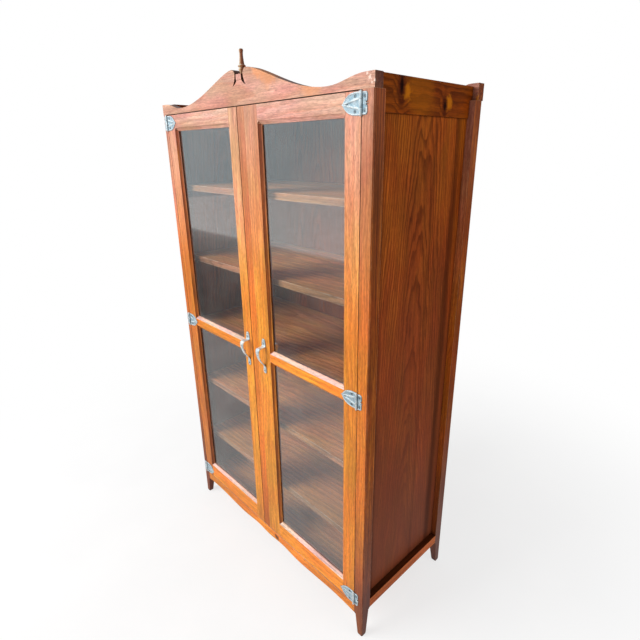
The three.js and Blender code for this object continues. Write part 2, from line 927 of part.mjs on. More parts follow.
// The leaf on the post carries the pin through the leaf on the door.
function postLeaf(name, side) {
    const holes = [
        [postLeafLength * 0.55, postLeafHalfHeight * 0.6],
        [postLeafLength * 0.55, -postLeafHalfHeight * 0.6],
    ];
    const solid = hingeLeaf(side, postLeafShape(side), [], holes, outerSpans, centreSpan);
    const pin = toSolid(barrel(pinRadius, -barrelLength / 2, barrelLength / 2, 12));
    return piece(name, toGeometry(solid.add(pin)), nickel);
}

function doorLeaf(name, side) {
    const long = doorLeafLength;
    const h = doorLeafHalfHeight;
    const start = barrelRadius + knuckleGap + 1;
    const ribs = [
        leafRib(side, start, long * 0.88, h * 0.4, h * 0.05, 1.5, 0.7),
        leafRib(side, start, long * 0.88, -h * 0.4, -h * 0.05, 1.5, 0.7),
        leafRib(side, start, long * 0.62, h * 0.88, h * 0.7, 1.2, 0.8),
        leafRib(side, start, long * 0.62, -h * 0.88, -h * 0.7, 1.2, 0.8),
    ];
    const holes = [
        [long * 0.3, h * 0.64],
        [long * 0.3, -h * 0.64],
        [long * 0.73, 0],
    ];
    const solid = hingeLeaf(side, doorLeafShape(side), ribs, holes, centreSpan, outerSpans);
    const bore = toSolid(barrel(pinRadius + pinClearance, -barrelLength, barrelLength, 16));
    return piece(name, toGeometry(solid.subtract(bore)), nickel);
}

// One door, built from its lower left front corner. hingeSide is -1 for hinges on the
// left and 1 for hinges on the right; strip is a closing strip on the meeting edge.
function door(name, x0, x1, hingeSide, meetingStile, strip) {
    const group = new THREE.Group();
    group.position.set(x0, 0, doorBottom);
    const width = x1 - x0;
    const leftStile = hingeSide < 0 ? hingeStileWidth : meetingStile;
    const rightStile = hingeSide < 0 ? meetingStile : hingeStileWidth;
    const stripWidth = strip ? edgeStripWidth : 0;
    const leftEdge = hingeSide < 0 ? 0 : stripWidth;
    const rightEdge = hingeSide < 0 ? width - stripWidth : width;
    const leftArris = leftEdge + leftStile;
    const rightArris = rightEdge - rightStile;
    const middleCentre = middleRailCentre - doorBottom;
    const rails = [
        ["bottom_rail", 0, bottomRailHeight, false, true],
        [
            "middle_rail",
            middleCentre - middleRailHeight / 2,
            middleCentre + middleRailHeight / 2,
            true,
            true,
        ],
        ["top_rail", doorHeight - topRailHeight, doorHeight, true, false],
    ];
    const leftPlan = stilePlan(leftEdge, leftArris);
    const rightPlan = stilePlan(rightEdge, rightArris);
    const shifted = (plan, by) => plan.map(([x, y]) => [x + by, y]);
    const roomLeft = toSolid(upright(shifted(leftPlan, jointClearance), -9, doorHeight + 9));
    const roomRight = toSolid(upright(shifted(rightPlan, -jointClearance), -9, doorHeight + 9));
    const mortises = [];
    for (const [part, z0, z1, below, above] of rails) {
        const low = z0 + (below ? 2 : tenonShoulder);
        const high = z1 - (above ? 2 : tenonShoulder);
        const tenons = [
            tenonBox(leftArris - tenonLength, leftArris + tenonLength, low, high),
            tenonBox(rightArris - tenonLength, rightArris + tenonLength, low, high),
        ];
        let solid = toSolid(across(railSection(z0, z1, below, above), leftArris, rightArris));
        if (part === "top_rail") {
            solid = solid.add(cornerFillet(leftArris, 1, z0));
            solid = solid.add(cornerFillet(rightArris, -1, z0));
        }
        solid = solid.subtract(roomLeft).subtract(roomRight);
        for (const tenon of tenons) {
            solid = solid.add(toSolid(board(tenon.x, tenon.y, tenon.z)));
            mortises.push(housing(tenon.x, tenon.y, tenon.z));
        }
        group.add(piece(`${name}_${part}`, toGeometry(solid), oak));
    }
    const leftName = hingeSide < 0 ? "hinge_stile" : "meeting_stile";
    const rightName = hingeSide < 0 ? "meeting_stile" : "hinge_stile";
    const leftBlank = upright(leftPlan, 0, doorHeight);
    const rightBlank = upright(rightPlan, 0, doorHeight);
    group.add(piece(`${name}_${leftName}`, cut(leftBlank, mortises), oak));
    group.add(piece(`${name}_${rightName}`, cut(rightBlank, mortises), oak));
    if (strip) {
        const stripX = hingeSide < 0 ? [rightEdge, width] : [0, leftEdge];
        const geometry = board(stripX, [0, doorThickness], [0, doorHeight]);
        group.add(piece(`${name}_edge_strip`, geometry, oak));
    }
    const panes = [
        ["lower", rails[0][2], rails[1][1]],
        ["upper", rails[1][2], rails[2][1]],
    ];
    const rebate = stickingWidth - glassLap;
    for (const [part, z0, z1] of panes) {
        const insetBy = rebate + jointClearance;
        const x = [leftArris + insetBy, rightArris - insetBy];
        const z = [z0 + insetBy, z1 - insetBy];
        const glassFront = lipDepth + jointClearance;
        const glassBack = glassFront + glassThickness;
        const pane = board(x, [glassFront, glassBack], z);
        group.add(piece(`${name}_${part}_glass`, pane, glass));
        const beadFront = glassBack + jointClearance;
        const beadSection = [
            [0, beadFront],
            [glassLap - jointClearance, beadFront],
            [glassLap - jointClearance, beadFront + 2],
            [glassLap / 2, doorThickness],
            [0, doorThickness],
        ];
        group.add(piece(`${name}_${part}_glass_bead`, mitredFrame(beadSection, x, z), oak));
    }
    const pull = piece(`${name}_pull`, pullGeometry(), nickel);
    const stileCentre = hingeSide < 0
        ? (rightArris + rightEdge) / 2
        : (leftArris + leftEdge) / 2;
    pull.position.set(stileCentre, 0, pullCentre - doorBottom);
    group.add(pull);
    return group;
}

// Hinges stand on the line between a door and its post.
function hinges(name, axisX, side) {
    const group = new THREE.Group();
    const places = [
        ["bottom", doorBottom + hingeInset],
        ["middle", middleRailCentre],
        ["top", doorTop - hingeInset],
    ];
    for (const [place, z] of places) {
        const pair = new THREE.Group();
        pair.position.set(axisX, 0, z);
        pair.add(postLeaf(`${name}_${place}_post_leaf`, side));
        pair.add(doorLeaf(`${name}_${place}_door_leaf`, -side));
        group.add(pair);
    }
    return group;
}

function carcase() {
    const group = new THREE.Group();
    group.add(post("front_left_post", -1, -1, leftPostRebate));
    group.add(post("front_right_post", 1, -1));
    group.add(post("rear_left_post", -1, 1));
    group.add(post("rear_right_post", 1, 1));
    for (const [word, side] of [["left", -1], ["right", 1]]) {
        group.add(sideRail(`${word}_side_rail`, side));
        group.add(sidePanel(`${word}_side_panel`, side));
        group.add(sideBoard(`${word}_side_top_board`, side));
    }
    group.add(apron());
    group.add(rearRail());
    const insideY = [doorBackY, insideBackY];
    group.add(housedBoard("floor_board", insideY, apronTop, floorTop, shelfPine));
    const shelfY = [postSize + jointClearance, insideBackY];
    for (let index = 0; index < shelfCount; index += 1) {
        const top = shelfTop(index);
        const name = `shelf_${index + 1}`;
        group.add(housedBoard(name, shelfY, top - shelfThickness, top, shelfPine));
    }
    const trayY = [crestThickness + jointClearance, galleryFrontY - jointClearance];
    group.add(housedBoard("top_board", insideY, topBoardUnderside, postHeight, pine, trayY));
    for (let index = 0; index < backBoardCount; index += 1) {
        group.add(backBoard(index));
    }
    group.add(crestBoard());
    group.add(finialPlinth());
    group.add(finial());
    group.add(galleryBoard());
    return group;
}

const leftDoorX = [leftHingeEdgeX + doorHingeGap, meetingLineX - meetingGap / 2];
const rightDoorX = [meetingLineX + meetingGap / 2, rightHingeEdgeX - doorHingeGap];

const cabinet = new THREE.Group();
cabinet.add(carcase());
cabinet.add(door("left_door", ...leftDoorX, -1, leftMeetingStileWidth, false));
cabinet.add(door("right_door", ...rightDoorX, 1, rightMeetingStileWidth, true));
cabinet.add(hinges("left_hinge", leftHingeEdgeX + doorHingeGap / 2, -1));
cabinet.add(hinges("right_hinge", rightHingeEdgeX - doorHingeGap / 2, 1));

// The origin stands on the floor under the middle of the whole.
const frontmost = -pullReach;
const rearmost = caseDepth + galleryOverhang;
cabinet.position.y = -(frontmost + rearmost) / 2;

export default cabinet;
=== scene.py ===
"""Looks for a glazed display cabinet: oak front, pine sides, nickel hinges and pulls.

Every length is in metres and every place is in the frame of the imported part: X to the
right, Y to the back, Z up, with the floor at zero. The finer metalwork and the turned
finial are surfaces worked out here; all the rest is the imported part's own solids.
"""

import logging
import math
from dataclasses import dataclass, replace
from enum import Enum

import bpy
import numpy as np
from mathutils import Matrix, Vector

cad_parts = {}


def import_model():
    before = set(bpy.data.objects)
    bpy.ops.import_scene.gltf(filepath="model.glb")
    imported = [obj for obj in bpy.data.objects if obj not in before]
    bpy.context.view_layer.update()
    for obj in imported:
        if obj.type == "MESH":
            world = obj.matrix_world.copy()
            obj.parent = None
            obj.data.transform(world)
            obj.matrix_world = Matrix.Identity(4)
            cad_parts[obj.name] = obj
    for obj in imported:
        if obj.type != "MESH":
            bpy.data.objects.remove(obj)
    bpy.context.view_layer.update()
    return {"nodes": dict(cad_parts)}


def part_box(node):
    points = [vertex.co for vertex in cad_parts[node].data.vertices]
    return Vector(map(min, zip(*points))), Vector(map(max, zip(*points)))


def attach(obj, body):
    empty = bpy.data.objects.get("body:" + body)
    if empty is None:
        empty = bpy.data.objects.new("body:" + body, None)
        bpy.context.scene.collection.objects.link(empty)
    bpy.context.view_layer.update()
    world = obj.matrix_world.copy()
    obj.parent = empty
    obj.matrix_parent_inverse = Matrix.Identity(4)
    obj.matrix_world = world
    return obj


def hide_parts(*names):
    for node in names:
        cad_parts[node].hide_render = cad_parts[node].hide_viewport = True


LOG = logging.getLogger("cabinet")
Colour = tuple[float, float, float]
Pair = tuple[float, float]
Place = tuple[float, float, float]
Socket = bpy.types.NodeSocket
Material = bpy.types.Material
Thing = bpy.types.Object

FRONT_Y = -0.2045  # the plane of the posts' and doors' fronts
SIDE_X = 0.4665  # the outer face of a side's top board
POST_X = 0.4825  # the outer face of a post
SHARP_ANGLE = math.radians(38)  # a metal edge that turns more than this stays crisp

# How far a face's normal has to turn for a look to start, and to be whole.
UPWARD = (0.3, 0.6)
LEVEL = (0.5, 0.8)
SIDEWAYS = (0.25, 0.65)
FRONTWAYS = (0.25, 0.75)
# Heights between which fading, the rings' contrast and the darkening near the floor change.
FADE_HEIGHTS = (1.22, 2.0)
FIGURE_HEIGHTS = (0.3, 1.4)
LOW_TONE_HEIGHT = 0.3


def srgb(red: int, green: int, blue: int) -> Colour:
    """A screen colour from 0 to 255 as the linear colour that a shader takes.

    Args:
        red: The red part.
        green: The green part.
        blue: The blue part.

    Returns:
        The three linear parts, by a power curve with exponent 2.2.
    """
    return tuple(round((part / 255) ** 2.2, 4) for part in (red, green, blue))


WHITE = (1.0, 1.0, 1.0)
CORNER_SHADE = (0.012, 0.004, 0.002)  # painted shade, near black, laid into corners and recesses
SKYLIT = (0.8, 0.63, 0.62)  # painted reflection of the sky on a ledge, pale pink
BARE_OAK = srgb(232, 206, 190)  # fresh chips
WARM_OAK = srgb(216, 138, 84)  # worn patches of the crest
DARK_SPOT = srgb(60, 30, 18)  # the blemish on the apron


class Grain(Enum):
    """The direction in which a piece's grain runs, as the turn that brings it to Z."""

    ACROSS = (0.0, math.pi / 2, 0.0)
    BACK = (-math.pi / 2, 0.0, 0.0)
    UP = (0.0, 0.0, 0.0)


class Body(Enum):
    """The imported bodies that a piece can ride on."""

    CARCASE = "carcase"
    LEFT_DOOR = "left_door"
    RIGHT_DOOR = "right_door"


class Side(Enum):
    """A side of the case, with the direction from the hinge line towards its post."""

    LEFT = -1
    RIGHT = 1

    @property
    def word(self) -> str:
        """The side's name in lower case."""
        return self.name.lower()

    @property
    def door(self) -> Body:
        """The door that hangs on this side."""
        return Body.LEFT_DOOR if self is Side.LEFT else Body.RIGHT_DOOR


@dataclass(frozen=True)
class Fibre:
    """A noise drawn out along the grain.

    Attributes:
        along: Its frequency along the grain as a share of that across it.
        scale: Its frequency across the grain, per metre.
        detail: Its octaves.
        roughness: The share that each octave keeps.
        spread: From which noise to which it shades the wood, and the darkest and
            lightest factor.
    """

    along: float
    scale: float
    detail: float = 2.0
    roughness: float = 0.5
    spread: tuple[float, float, float, float] = (0.0, 1.0, 1.0, 1.0)


SWAY = Fibre(0.16, 9.0, 3.0)
WOBBLE = Fibre(0.3, 42.0)
STREAK = Fibre(0.05, 110.0, 4.0, 0.66, (0.3, 0.7, 0.76, 1.16))
HAIR = Fibre(0.03, 430.0, 3.0, 0.65, (0.25, 0.75, 0.82, 1.12))
FLECK = Fibre(0.2, 330.0, 3.0, 0.65, (0.32, 0.68, 0.84, 1.12))
DASH = Fibre(0.13, 560.0, 1.5)
TONE = Fibre(0.35, 6.0, 3.0, 0.55, (0.28, 0.72, 0.78, 1.18))
HUE = Fibre(0.3, 17.0, 3.0)


class Graph:
    """Builds one node tree from outputs, numbers and names."""

    def __init__(self, owner: Material | bpy.types.World) -> None:
        """Starts an empty node tree.

        Args:
            owner: The material or world that it belongs to.
        """
        self.owner = owner
        owner.use_nodes = True
        self.tree = owner.node_tree
        self.tree.nodes.clear()

    @classmethod
    def named(cls, name: str) -> "Graph":
        """A graph in a new material of that name."""
        return cls(bpy.data.materials.new(name))

    def add(self, kind: str, inputs: dict | None = None, **settings: object) -> bpy.types.Node:
        """Adds a node.

        Args:
            kind: The node's type without its ShaderNode prefix.
            inputs: Values or output sockets by input name or index.
            settings: Properties of the node itself.

        Returns:
            The new node.
        """
        node = self.tree.nodes.new("ShaderNode" + kind)
        for key, value in settings.items():
            setattr(node, key, value)
        for key, value in (inputs or {}).items():
            socket = node.inputs[key]
            if isinstance(value, Socket):
                self.tree.links.new(value, socket)
            elif isinstance(value, tuple) and len(value) == 3 and socket.type == "RGBA":
                socket.default_value = (*value, 1.0)
            else:
                socket.default_value = value
        return node

    def math(self, operation: str, *values: object, clamp: bool = False) -> Socket:
        """A Math node's output.

        Args:
            operation: The node's operation.
            values: Its inputs in order.
            clamp: Whether the result is kept from 0 to 1.

        Returns:
            The output socket.
        """
        node = self.add("Math", dict(enumerate(values)), operation=operation, use_clamp=clamp)
        return node.outputs[0]

    def product(self, *values: object) -> Socket:
        """Several numbers multiplied together.

        Args:
            values: Two or more sockets or numbers.

        Returns:
            The output socket.
        """
        total = values[0]
        for value in values[1:]:
            total = self.math("MULTIPLY", total, value)
        return total

    def vector(self, operation: str, *values: object, output: int | str = 0) -> Socket:
        """A Vector Math node's output.

        Args:
            operation: The node's operation.
            values: Its inputs in order.
            output: Which output is taken.

        Returns:
            The output socket.
        """
        node = self.add("VectorMath", dict(enumerate(values)), operation=operation)
        return node.outputs[output]

    def parts(self, vector: Socket) -> tuple[Socket, Socket, Socket]:
        """A vector's X, Y and Z."""
        return tuple(self.add("SeparateXYZ", {0: vector}).outputs)

    def noise(self, vector: Socket, scale: float, detail: float = 2.0,
              roughness: float = 0.5) -> Socket:
        """Noise at a vector.

        Args:
            vector: Where it is read.
            scale: Its frequency per metre.
            detail: Its octaves.
            roughness: The share that each octave keeps.

        Returns:
            The factor's socket.
        """
        inputs = {"Vector": vector, "Scale": scale, "Detail": detail, "Roughness": roughness}
        return self.add("TexNoise", inputs).outputs[0]

    def drawn(self, place: Socket, fibre: Fibre) -> Socket:
        """A fibre's noise at a place whose grain runs along Z."""
        stretched = self.vector("MULTIPLY", place, (1, 1, fibre.along))
        return self.noise(stretched, fibre.scale, fibre.detail, fibre.roughness)

    def band(self, value: Socket, low: float, high: float, start: float = 0.0,
             end: float = 1.0) -> Socket:
        """A value carried smoothly from one range to another, and kept inside it.

        Args:
            value: The socket to carry over.
            low: Where the first range starts.
            high: Where it ends.
            start: The result at low.
            end: The result at high.

        Returns:
            The output socket.
        """
        ends = ("Value", "From Min", "From Max", "To Min", "To Max")
        inputs = dict(zip(ends, (value, low, high, start, end)))
        return self.add("MapRange", inputs, interpolation_type="SMOOTHSTEP").outputs[0]

    def ramp(self, value: Socket, *stops: Pair) -> Socket:
        """A value carried along straight lines from stop to stop.

        Args:
            value: The socket to carry over.
            stops: Rising places from 0 to 1, each with its result.

        Returns:
            The output socket.
        """
        node = self.add("ValToRGB", {0: value})
        points = node.color_ramp.elements
        points[1].position = stops[-1][0]
        points[0].position = stops[0][0]
        for place, _ in stops[1:-1]:
            points.new(place)
        for point, (_, level) in zip(points, stops):
            point.color = (level, level, level, 1.0)
        return node.outputs[0]

    def mix(self, factor: object, first: object, second: object, blend: str = "MIX") -> Socket:
        """Two colours mixed.

        Args:
            factor: The share of the second.
            first: A colour or socket.
            second: A colour or socket.
            blend: How they combine.

        Returns:
            The mixed colour's socket.
        """
        inputs = {0: factor, 6: first, 7: second}
        return self.add("Mix", inputs, data_type="RGBA", blend_type=blend).outputs[2]

    def blended(self, share: Socket, *shaders: bpy.types.Node) -> bpy.types.Node:
        """Two shaders' nodes mixed by the share of the second."""
        first, second = (shader.outputs[0] for shader in shaders)
        return self.add("MixShader", {0: share, 1: first, 2: second})

    def grey(self, value: Socket) -> Socket:
        """A number as a grey colour."""
        return self.add("CombineColor", {0: value, 1: value, 2: value}).outputs[0]

    def finish(self, shader: bpy.types.Node) -> Material:
        """Joins the shader to the output.

        Args:
            shader: The shader's node.

        Returns:
            The finished material.
        """
        self.add("OutputMaterial", {"Surface": shader.outputs[0]})
        return self.owner


@dataclass(frozen=True)
class Knot:
    """A knot in a board, at a place on the cabinet and drawn out upwards."""

    place: Place
    radius: float = 0.012
    drawn: float = 3.0


@dataclass(frozen=True)
class Mark:
    """A chip, a stain or a glowing patch at a place on the cabinet."""

    place: Place
    radius: float
    colour: Colour
    strength: float = 0.8
    ragged: float = 1.0


@dataclass(frozen=True)
class Stripe:
    """A long dark stripe up a side of the cabinet, at a place from front to back, partly painted
    shade.
    """

    place: float
    half: float
    strength: float = 0.5


@dataclass(frozen=True)
class Cut:
    """How a piece was sawn from its log, how the varnish and painted shade lie on it, and its
    marks.

    Attributes:
        grain: The way that its grain runs.
        heart: Where the log's heart lies from the piece's middle, across the grain.
        slope: How much the heart's distance grows along the grain.
        tint: A factor on the wood's own colour.
        left_share: Stain and painted shade on faces to the left, as a share of that on the right.
        shaded_top: Painted shade on level faces, laid on like the stain.
        shade: A factor on the stain's colour; a low one paints deeper shade.
        dirty_ledge: The share of painted shade and dark dirt on level faces.
        foot: The share of the darker low tone at the floor, and the height at which it ends.
        knots: Its knots.
        marks: Its chips and patches.
        stripes: Its stripes.
    """

    grain: Grain
    heart: Pair = (0.03, 0.05)
    slope: float = 0.03
    tint: Colour = WHITE
    left_share: float = 1.0
    shaded_top: float = 0.0
    shade: float = 1.0
    dirty_ledge: float = 0.0
    foot: Pair = (0.0, 0.3)
    knots: tuple[Knot, ...] = ()
    marks: tuple[Mark, ...] = ()
    stripes: tuple[Stripe, ...] = ()


@dataclass(frozen=True)
class WoodFinish:
    """A varnished timber: growth rings round a heart, fibres, pores, fading, wear and painted
    shade.

    Attributes:
        name: What its materials are called after.
        early: The pale wood of each ring.
        late: The dark line that ends it.
        pore: Pores, knots and stripes.
        faded: Wood that light has bleached.
        worn_and_lit: Pale edges, rubbed bare and with a painted highlight.
        amber: Streaks that glow through the stain.
        ring: The rings' width.
        ring_start: Where in a ring its dark line starts, as a share.
        ring_depth: The rings' contrast.
        waver: How far the rings wander.
        pore_amount: The pores' contrast.
        fade: The fading at the top of the cabinet.
        wear_and_highlight: How much of the edges is pale, by wear and painted highlight.
        gloss: The varnish's mean roughness.
        specular: The varnish's specular level.
        relief: The strength of the grain's relief.
        stain_and_shade: A darker varnish with painted shade on a piece's sides, if it has any.
        front_stain_and_shade: Whether it lies on the front, not on the sides.
        low_tone: The darker colour that the wood takes towards the floor.
        low_figure: The rings' contrast near the floor, as a share.
        ledge: A painted reflection of the sky on upward faces, as paler colour.
        coat: The weight of a clear coat.
        edge_reach: How far the pale edge goes in from an edge.
        shade_in_corners: How strongly painted shade darkens the corners.
    """

    name: str
    early: Colour
    late: Colour
    pore: Colour
    faded: Colour
    worn_and_lit: Colour
    amber: Colour
    ring: float
    ring_start: float
    ring_depth: float
    waver: float
    pore_amount: float
    fade: float
    wear_and_highlight: float
    gloss: float
    specular: float
    relief: float
    stain_and_shade: Colour | None = None
    front_stain_and_shade: bool = False
    low_tone: Colour = srgb(96, 48, 38)
    low_figure: float = 1.0
    ledge: float = 0.0
    coat: float = 0.0
    edge_reach: float = 0.0016
    shade_in_corners: float = 0.75

    def material(self, name: str, centre: Vector, seed: float, cut: Cut) -> Material:
        """The finish on one piece, with its own stretch of the log.

        Args:
            name: The piece's name.
            centre: The middle of the piece.
            seed: A number that moves the noise, so that no two pieces match.
            cut: The piece's own log and marks.

        Returns:
            The material.
        """
        return Timber(self, cut, Graph.named(f"{self.name}_{name}"), centre, seed).material()


class Timber:
    """Draws one timber on one piece, layer over layer.

    Each layer takes the colour so far and gives the next. They share the place on the
    cabinet, the way in which the face looks, the height made uneven by the wood's tone,
    the noises drawn out along the grain, the rings and the pores.
    """

    SEED_STEPS = (0.37, 0.61, 1.3)  # how far a seed of 1 moves the noises
    RING_NOISE = 0.31  # how fast the rings' own noise changes, per ring
    RING_STRETCH = 2.2  # how many rings it moves them by
    RING_END = (0.84, 0.88)  # where in a ring the line is darkest, and starts to end
    RING_STREAKS = (0.3, 0.7, 0.35, 1.0)  # how streaks break the rings up
    LIT_STREAKS = (0.48, 0.7, 0.0, 0.4)  # which streaks glow through the stain
    KNOT_STREAKS = (0.3, 0.6, 0.4, 0.9)  # how streaks break up a knot's halo
    STAIN_AND_SHADE_SHARE = 0.85
    STAIN_AND_SHADE_RINGS = 0.55  # the rings' contrast under the stain and painted shade
    LEDGE_SHEEN = 0.75  # the share of painted sky reflection on a ledge
    HUE_PATCHES = (0.36, 0.64)
    COOL = (1.03, 0.91, 0.95)
    WARM = (0.99, 1.07, 0.94)
    PORE_DASHES = (0.56, 0.7)
    PORE_CLUSTERS = (0.35, 0.65, 0.35, 1.0)
    EDGE_TURN = (0.88, 0.99)  # the two normals' agreement at an edge and on the flat
    CORNER_REACH = 0.012
    # The openness below which painted shade is whole, and above which there is none.
    SHADED_CORNERS = (0.22, 0.62, 1.0, 0.0)
    RUB_SCALE = 30.0  # of the patches in which edges are pale
    DUST_SCALE = 45.0  # of the patches of dirt
    RELIEF_DEPTH = 0.0005
    COAT_ROUGHNESS = 0.18

    def __init__(self, finish: WoodFinish, cut: Cut, g: Graph, centre: Vector,
                 seed: float) -> None:
        """Finds the places, directions and noises that the layers share.

        Args:
            finish: The timber.
            cut: The piece's own log and marks.
            g: The material's graph.
            centre: The middle of the piece.
            seed: A number that moves the noise.
        """
        self.finish, self.cut, self.g = finish, cut, g
        coordinates = g.add("TexCoord").outputs
        self.place = coordinates["Object"]
        self.facing = g.parts(coordinates["Normal"])
        _, self.depth, self.height = g.parts(self.place)
        inputs = {"Vector": self.place, "Location": tuple(centre), "Rotation": cut.grain.value}
        self.turned = g.add("Mapping", inputs, vector_type="TEXTURE").outputs[0]
        shift = tuple(seed * step for step in self.SEED_STEPS)
        self.shifted = g.vector("ADD", self.turned, shift)
        self.streak, self.hair, self.fleck, self.tone = (
            g.drawn(self.shifted, fibre) for fibre in (STREAK, HAIR, FLECK, TONE)
        )
        self.uneven = g.math("MULTIPLY_ADD", self.tone, 0.5, self.height)
        self.gaps = [self.knot_gap(knot) for knot in cut.knots]
        self.late = self.rings()
        dashes = g.band(g.drawn(self.shifted, DASH), *self.PORE_DASHES)
        dashes = g.product(dashes, g.band(self.tone, *self.PORE_CLUSTERS))
        self.pores = g.math("MULTIPLY", dashes, finish.pore_amount, clamp=True)

    def knot_gap(self, knot: Knot) -> Socket:
        """The distance to a knot, with heights divided by how far it is drawn out.

        Args:
            knot: The knot.

        Returns:
            The distance's socket.
        """
        drawn = (1.0, 1.0, 1.0 / knot.drawn)
        spot = tuple(part * factor for part, factor in zip(knot.place, drawn))
        squeezed = self.g.vector("MULTIPLY", self.place, drawn)
        return self.g.vector("DISTANCE", squeezed, spot, output="Value")

    def rings(self) -> Socket:
        """The dark line of each growth ring.

        The rings are the distance from the log's heart, plus a slow rise along the
        grain and a low wavering noise. That length, over the ring width and unevenly
        stretched by noise of itself, is cut to its fraction, so that each ring
        darkens slowly and ends sharply. Near a knot the length grows, so the rings
        run round it.

        Returns:
            The share of late wood.
        """
        g, cut, waver = self.g, self.cut, self.finish.waver
        across = (-cut.heart[0], -cut.heart[1], 0)
        flat = g.vector("MULTIPLY_ADD", self.turned, (1, 1, 0), across)
        length = g.vector("LENGTH", flat, output="Value")
        length = g.math("MULTIPLY_ADD", g.parts(self.turned)[2], cut.slope, length)
        length = g.math("MULTIPLY_ADD", g.drawn(self.shifted, SWAY), waver, length)
        length = g.math("MULTIPLY_ADD", g.drawn(self.shifted, WOBBLE), waver * 0.2, length)
        for knot, gap in zip(cut.knots, self.gaps):
            near = g.band(gap, 0.0, knot.radius * 4.0, 1.0, 0.0)
            length = g.math("MULTIPLY_ADD", near, knot.radius * 1.3, length)
        count = g.math("DIVIDE", length, self.finish.ring)
        line = g.add("CombineXYZ", {0: g.math("MULTIPLY", count, self.RING_NOISE)}).outputs[0]
        uneven = g.math("MULTIPLY_ADD", g.noise(line, 1.0, 1.0), self.RING_STRETCH, count)
        turn = g.math("FRACT", uneven)
        darkest, gone = self.RING_END
        return g.product(g.band(turn, self.finish.ring_start, darkest),
                         g.band(turn, gone, 1.0, 1.0, 0.0))

    def ground(self) -> Socket:
        """Early and late wood, paler where light has bleached it, and painted paler on ledges as a
        reflection of the sky.

        Returns:
            The colour.
        """
        g, finish = self.g, self.finish
        broken = g.band(self.streak, *self.RING_STREAKS)
        clearer = g.band(self.height, *FIGURE_HEIGHTS, finish.low_figure, 1.0)
        depth = g.product(self.late, broken, finish.ring_depth, clearer)
        wood = g.mix(depth, finish.early, finish.late)
        # Upward faces take a painted reflection of the sky: paler, then pink.
        ledge = g.product(g.band(self.facing[2], *UPWARD), finish.ledge)
        aged = g.math("MULTIPLY", g.band(self.uneven, *FADE_HEIGHTS), finish.fade)
        pale = g.mix(g.math("MULTIPLY", depth, 0.7), finish.faded, finish.late)
        wood = g.mix(g.math("MAXIMUM", aged, ledge), wood, pale)
        wood = g.mix(g.math("MULTIPLY", ledge, self.LEDGE_SHEEN), wood, SKYLIT)
        return g.mix(1.0, wood, self.cut.tint, "MULTIPLY")

    def stained_and_shaded(self, wood: Socket) -> Socket:
        """Stain and painted shade over chosen faces, with dark rings and lit streaks in it.

        Args:
            wood: The colour so far.

        Returns:
            The colour with the stain.
        """
        g, finish, cut = self.g, self.finish, self.cut
        x, y, z = self.facing
        # Which faces are darkened by stain and painted shade: the right ones most, and level ones
        # as shade.
        if finish.front_stain_and_shade:
            share = g.band(g.math("MULTIPLY", y, -1.0), *FRONTWAYS)
        else:
            least, most = SIDEWAYS
            right = g.band(x, least, most)
            share = g.math("MAXIMUM", g.band(x, -most, -least, cut.left_share, 0.0), right)
        if cut.shaded_top:
            share = g.math("MAXIMUM", share, g.product(g.band(z, *LEVEL), cut.shaded_top))
        stain_and_shade, lit = (
            tuple(part * cut.shade for part in dye) for dye in (finish.stain_and_shade, finish.amber)
        )
        ringed = g.mix(g.product(self.late, self.STAIN_AND_SHADE_RINGS), stain_and_shade, finish.pore)
        ringed = g.mix(g.band(self.streak, *self.LIT_STREAKS), ringed, lit)
        return g.mix(g.product(share, self.STAIN_AND_SHADE_SHARE), wood, ringed)

    def mottled(self, wood: Socket) -> Socket:
        """Cool and warm patches, then light and dark fibres, then the pores.

        Args:
            wood: The colour so far.

        Returns:
            The mottled colour.
        """
        g = self.g
        hue = g.band(g.drawn(self.shifted, HUE), *self.HUE_PATCHES)
        wood = g.mix(1.0, wood, g.mix(hue, self.COOL, self.WARM), "MULTIPLY")
        shades = ((self.streak, STREAK), (self.tone, TONE), (self.hair, HAIR), (self.fleck, FLECK))
        shade = g.product(*(g.band(noise, *fibre.spread) for noise, fibre in shades))
        wood = g.mix(1.0, wood, g.grey(shade), "MULTIPLY")
        return g.mix(self.pores, wood, self.finish.pore)

    def darkened_low(self, wood: Socket) -> Socket:
        """Painted shade and dirt on level faces, a darker tone towards the floor, and stripes
        partly of painted shade.

        Args:
            wood: The colour so far.

        Returns:
            The darkened colour.
        """
        g, finish, cut = self.g, self.finish, self.cut
        # Level faces, such as a rail's top in the recess below a panel, take painted shade and
        # dirt.
        if cut.dirty_ledge:
            upper = g.product(g.band(self.facing[2], *LEVEL), cut.dirty_ledge)
            wood = g.mix(upper, wood, finish.pore)
        share, reach = cut.foot
        if share:
            darkening = g.band(self.uneven, LOW_TONE_HEIGHT, reach + 0.25, share, 0.0)
            wood = g.mix(darkening, wood, finish.low_tone)
        # Dark stripes, partly painted shade beside the posts.
        for stripe in cut.stripes:
            gap = g.math("ABSOLUTE", g.math("SUBTRACT", self.depth, stripe.place))
            gap = g.math("MULTIPLY_ADD", self.tone, stripe.half * 0.6, gap)
            shade = g.band(gap, stripe.half * 0.4, stripe.half * 1.4, stripe.strength, 0.0)
            wood = g.mix(shade, wood, finish.pore)
        return wood

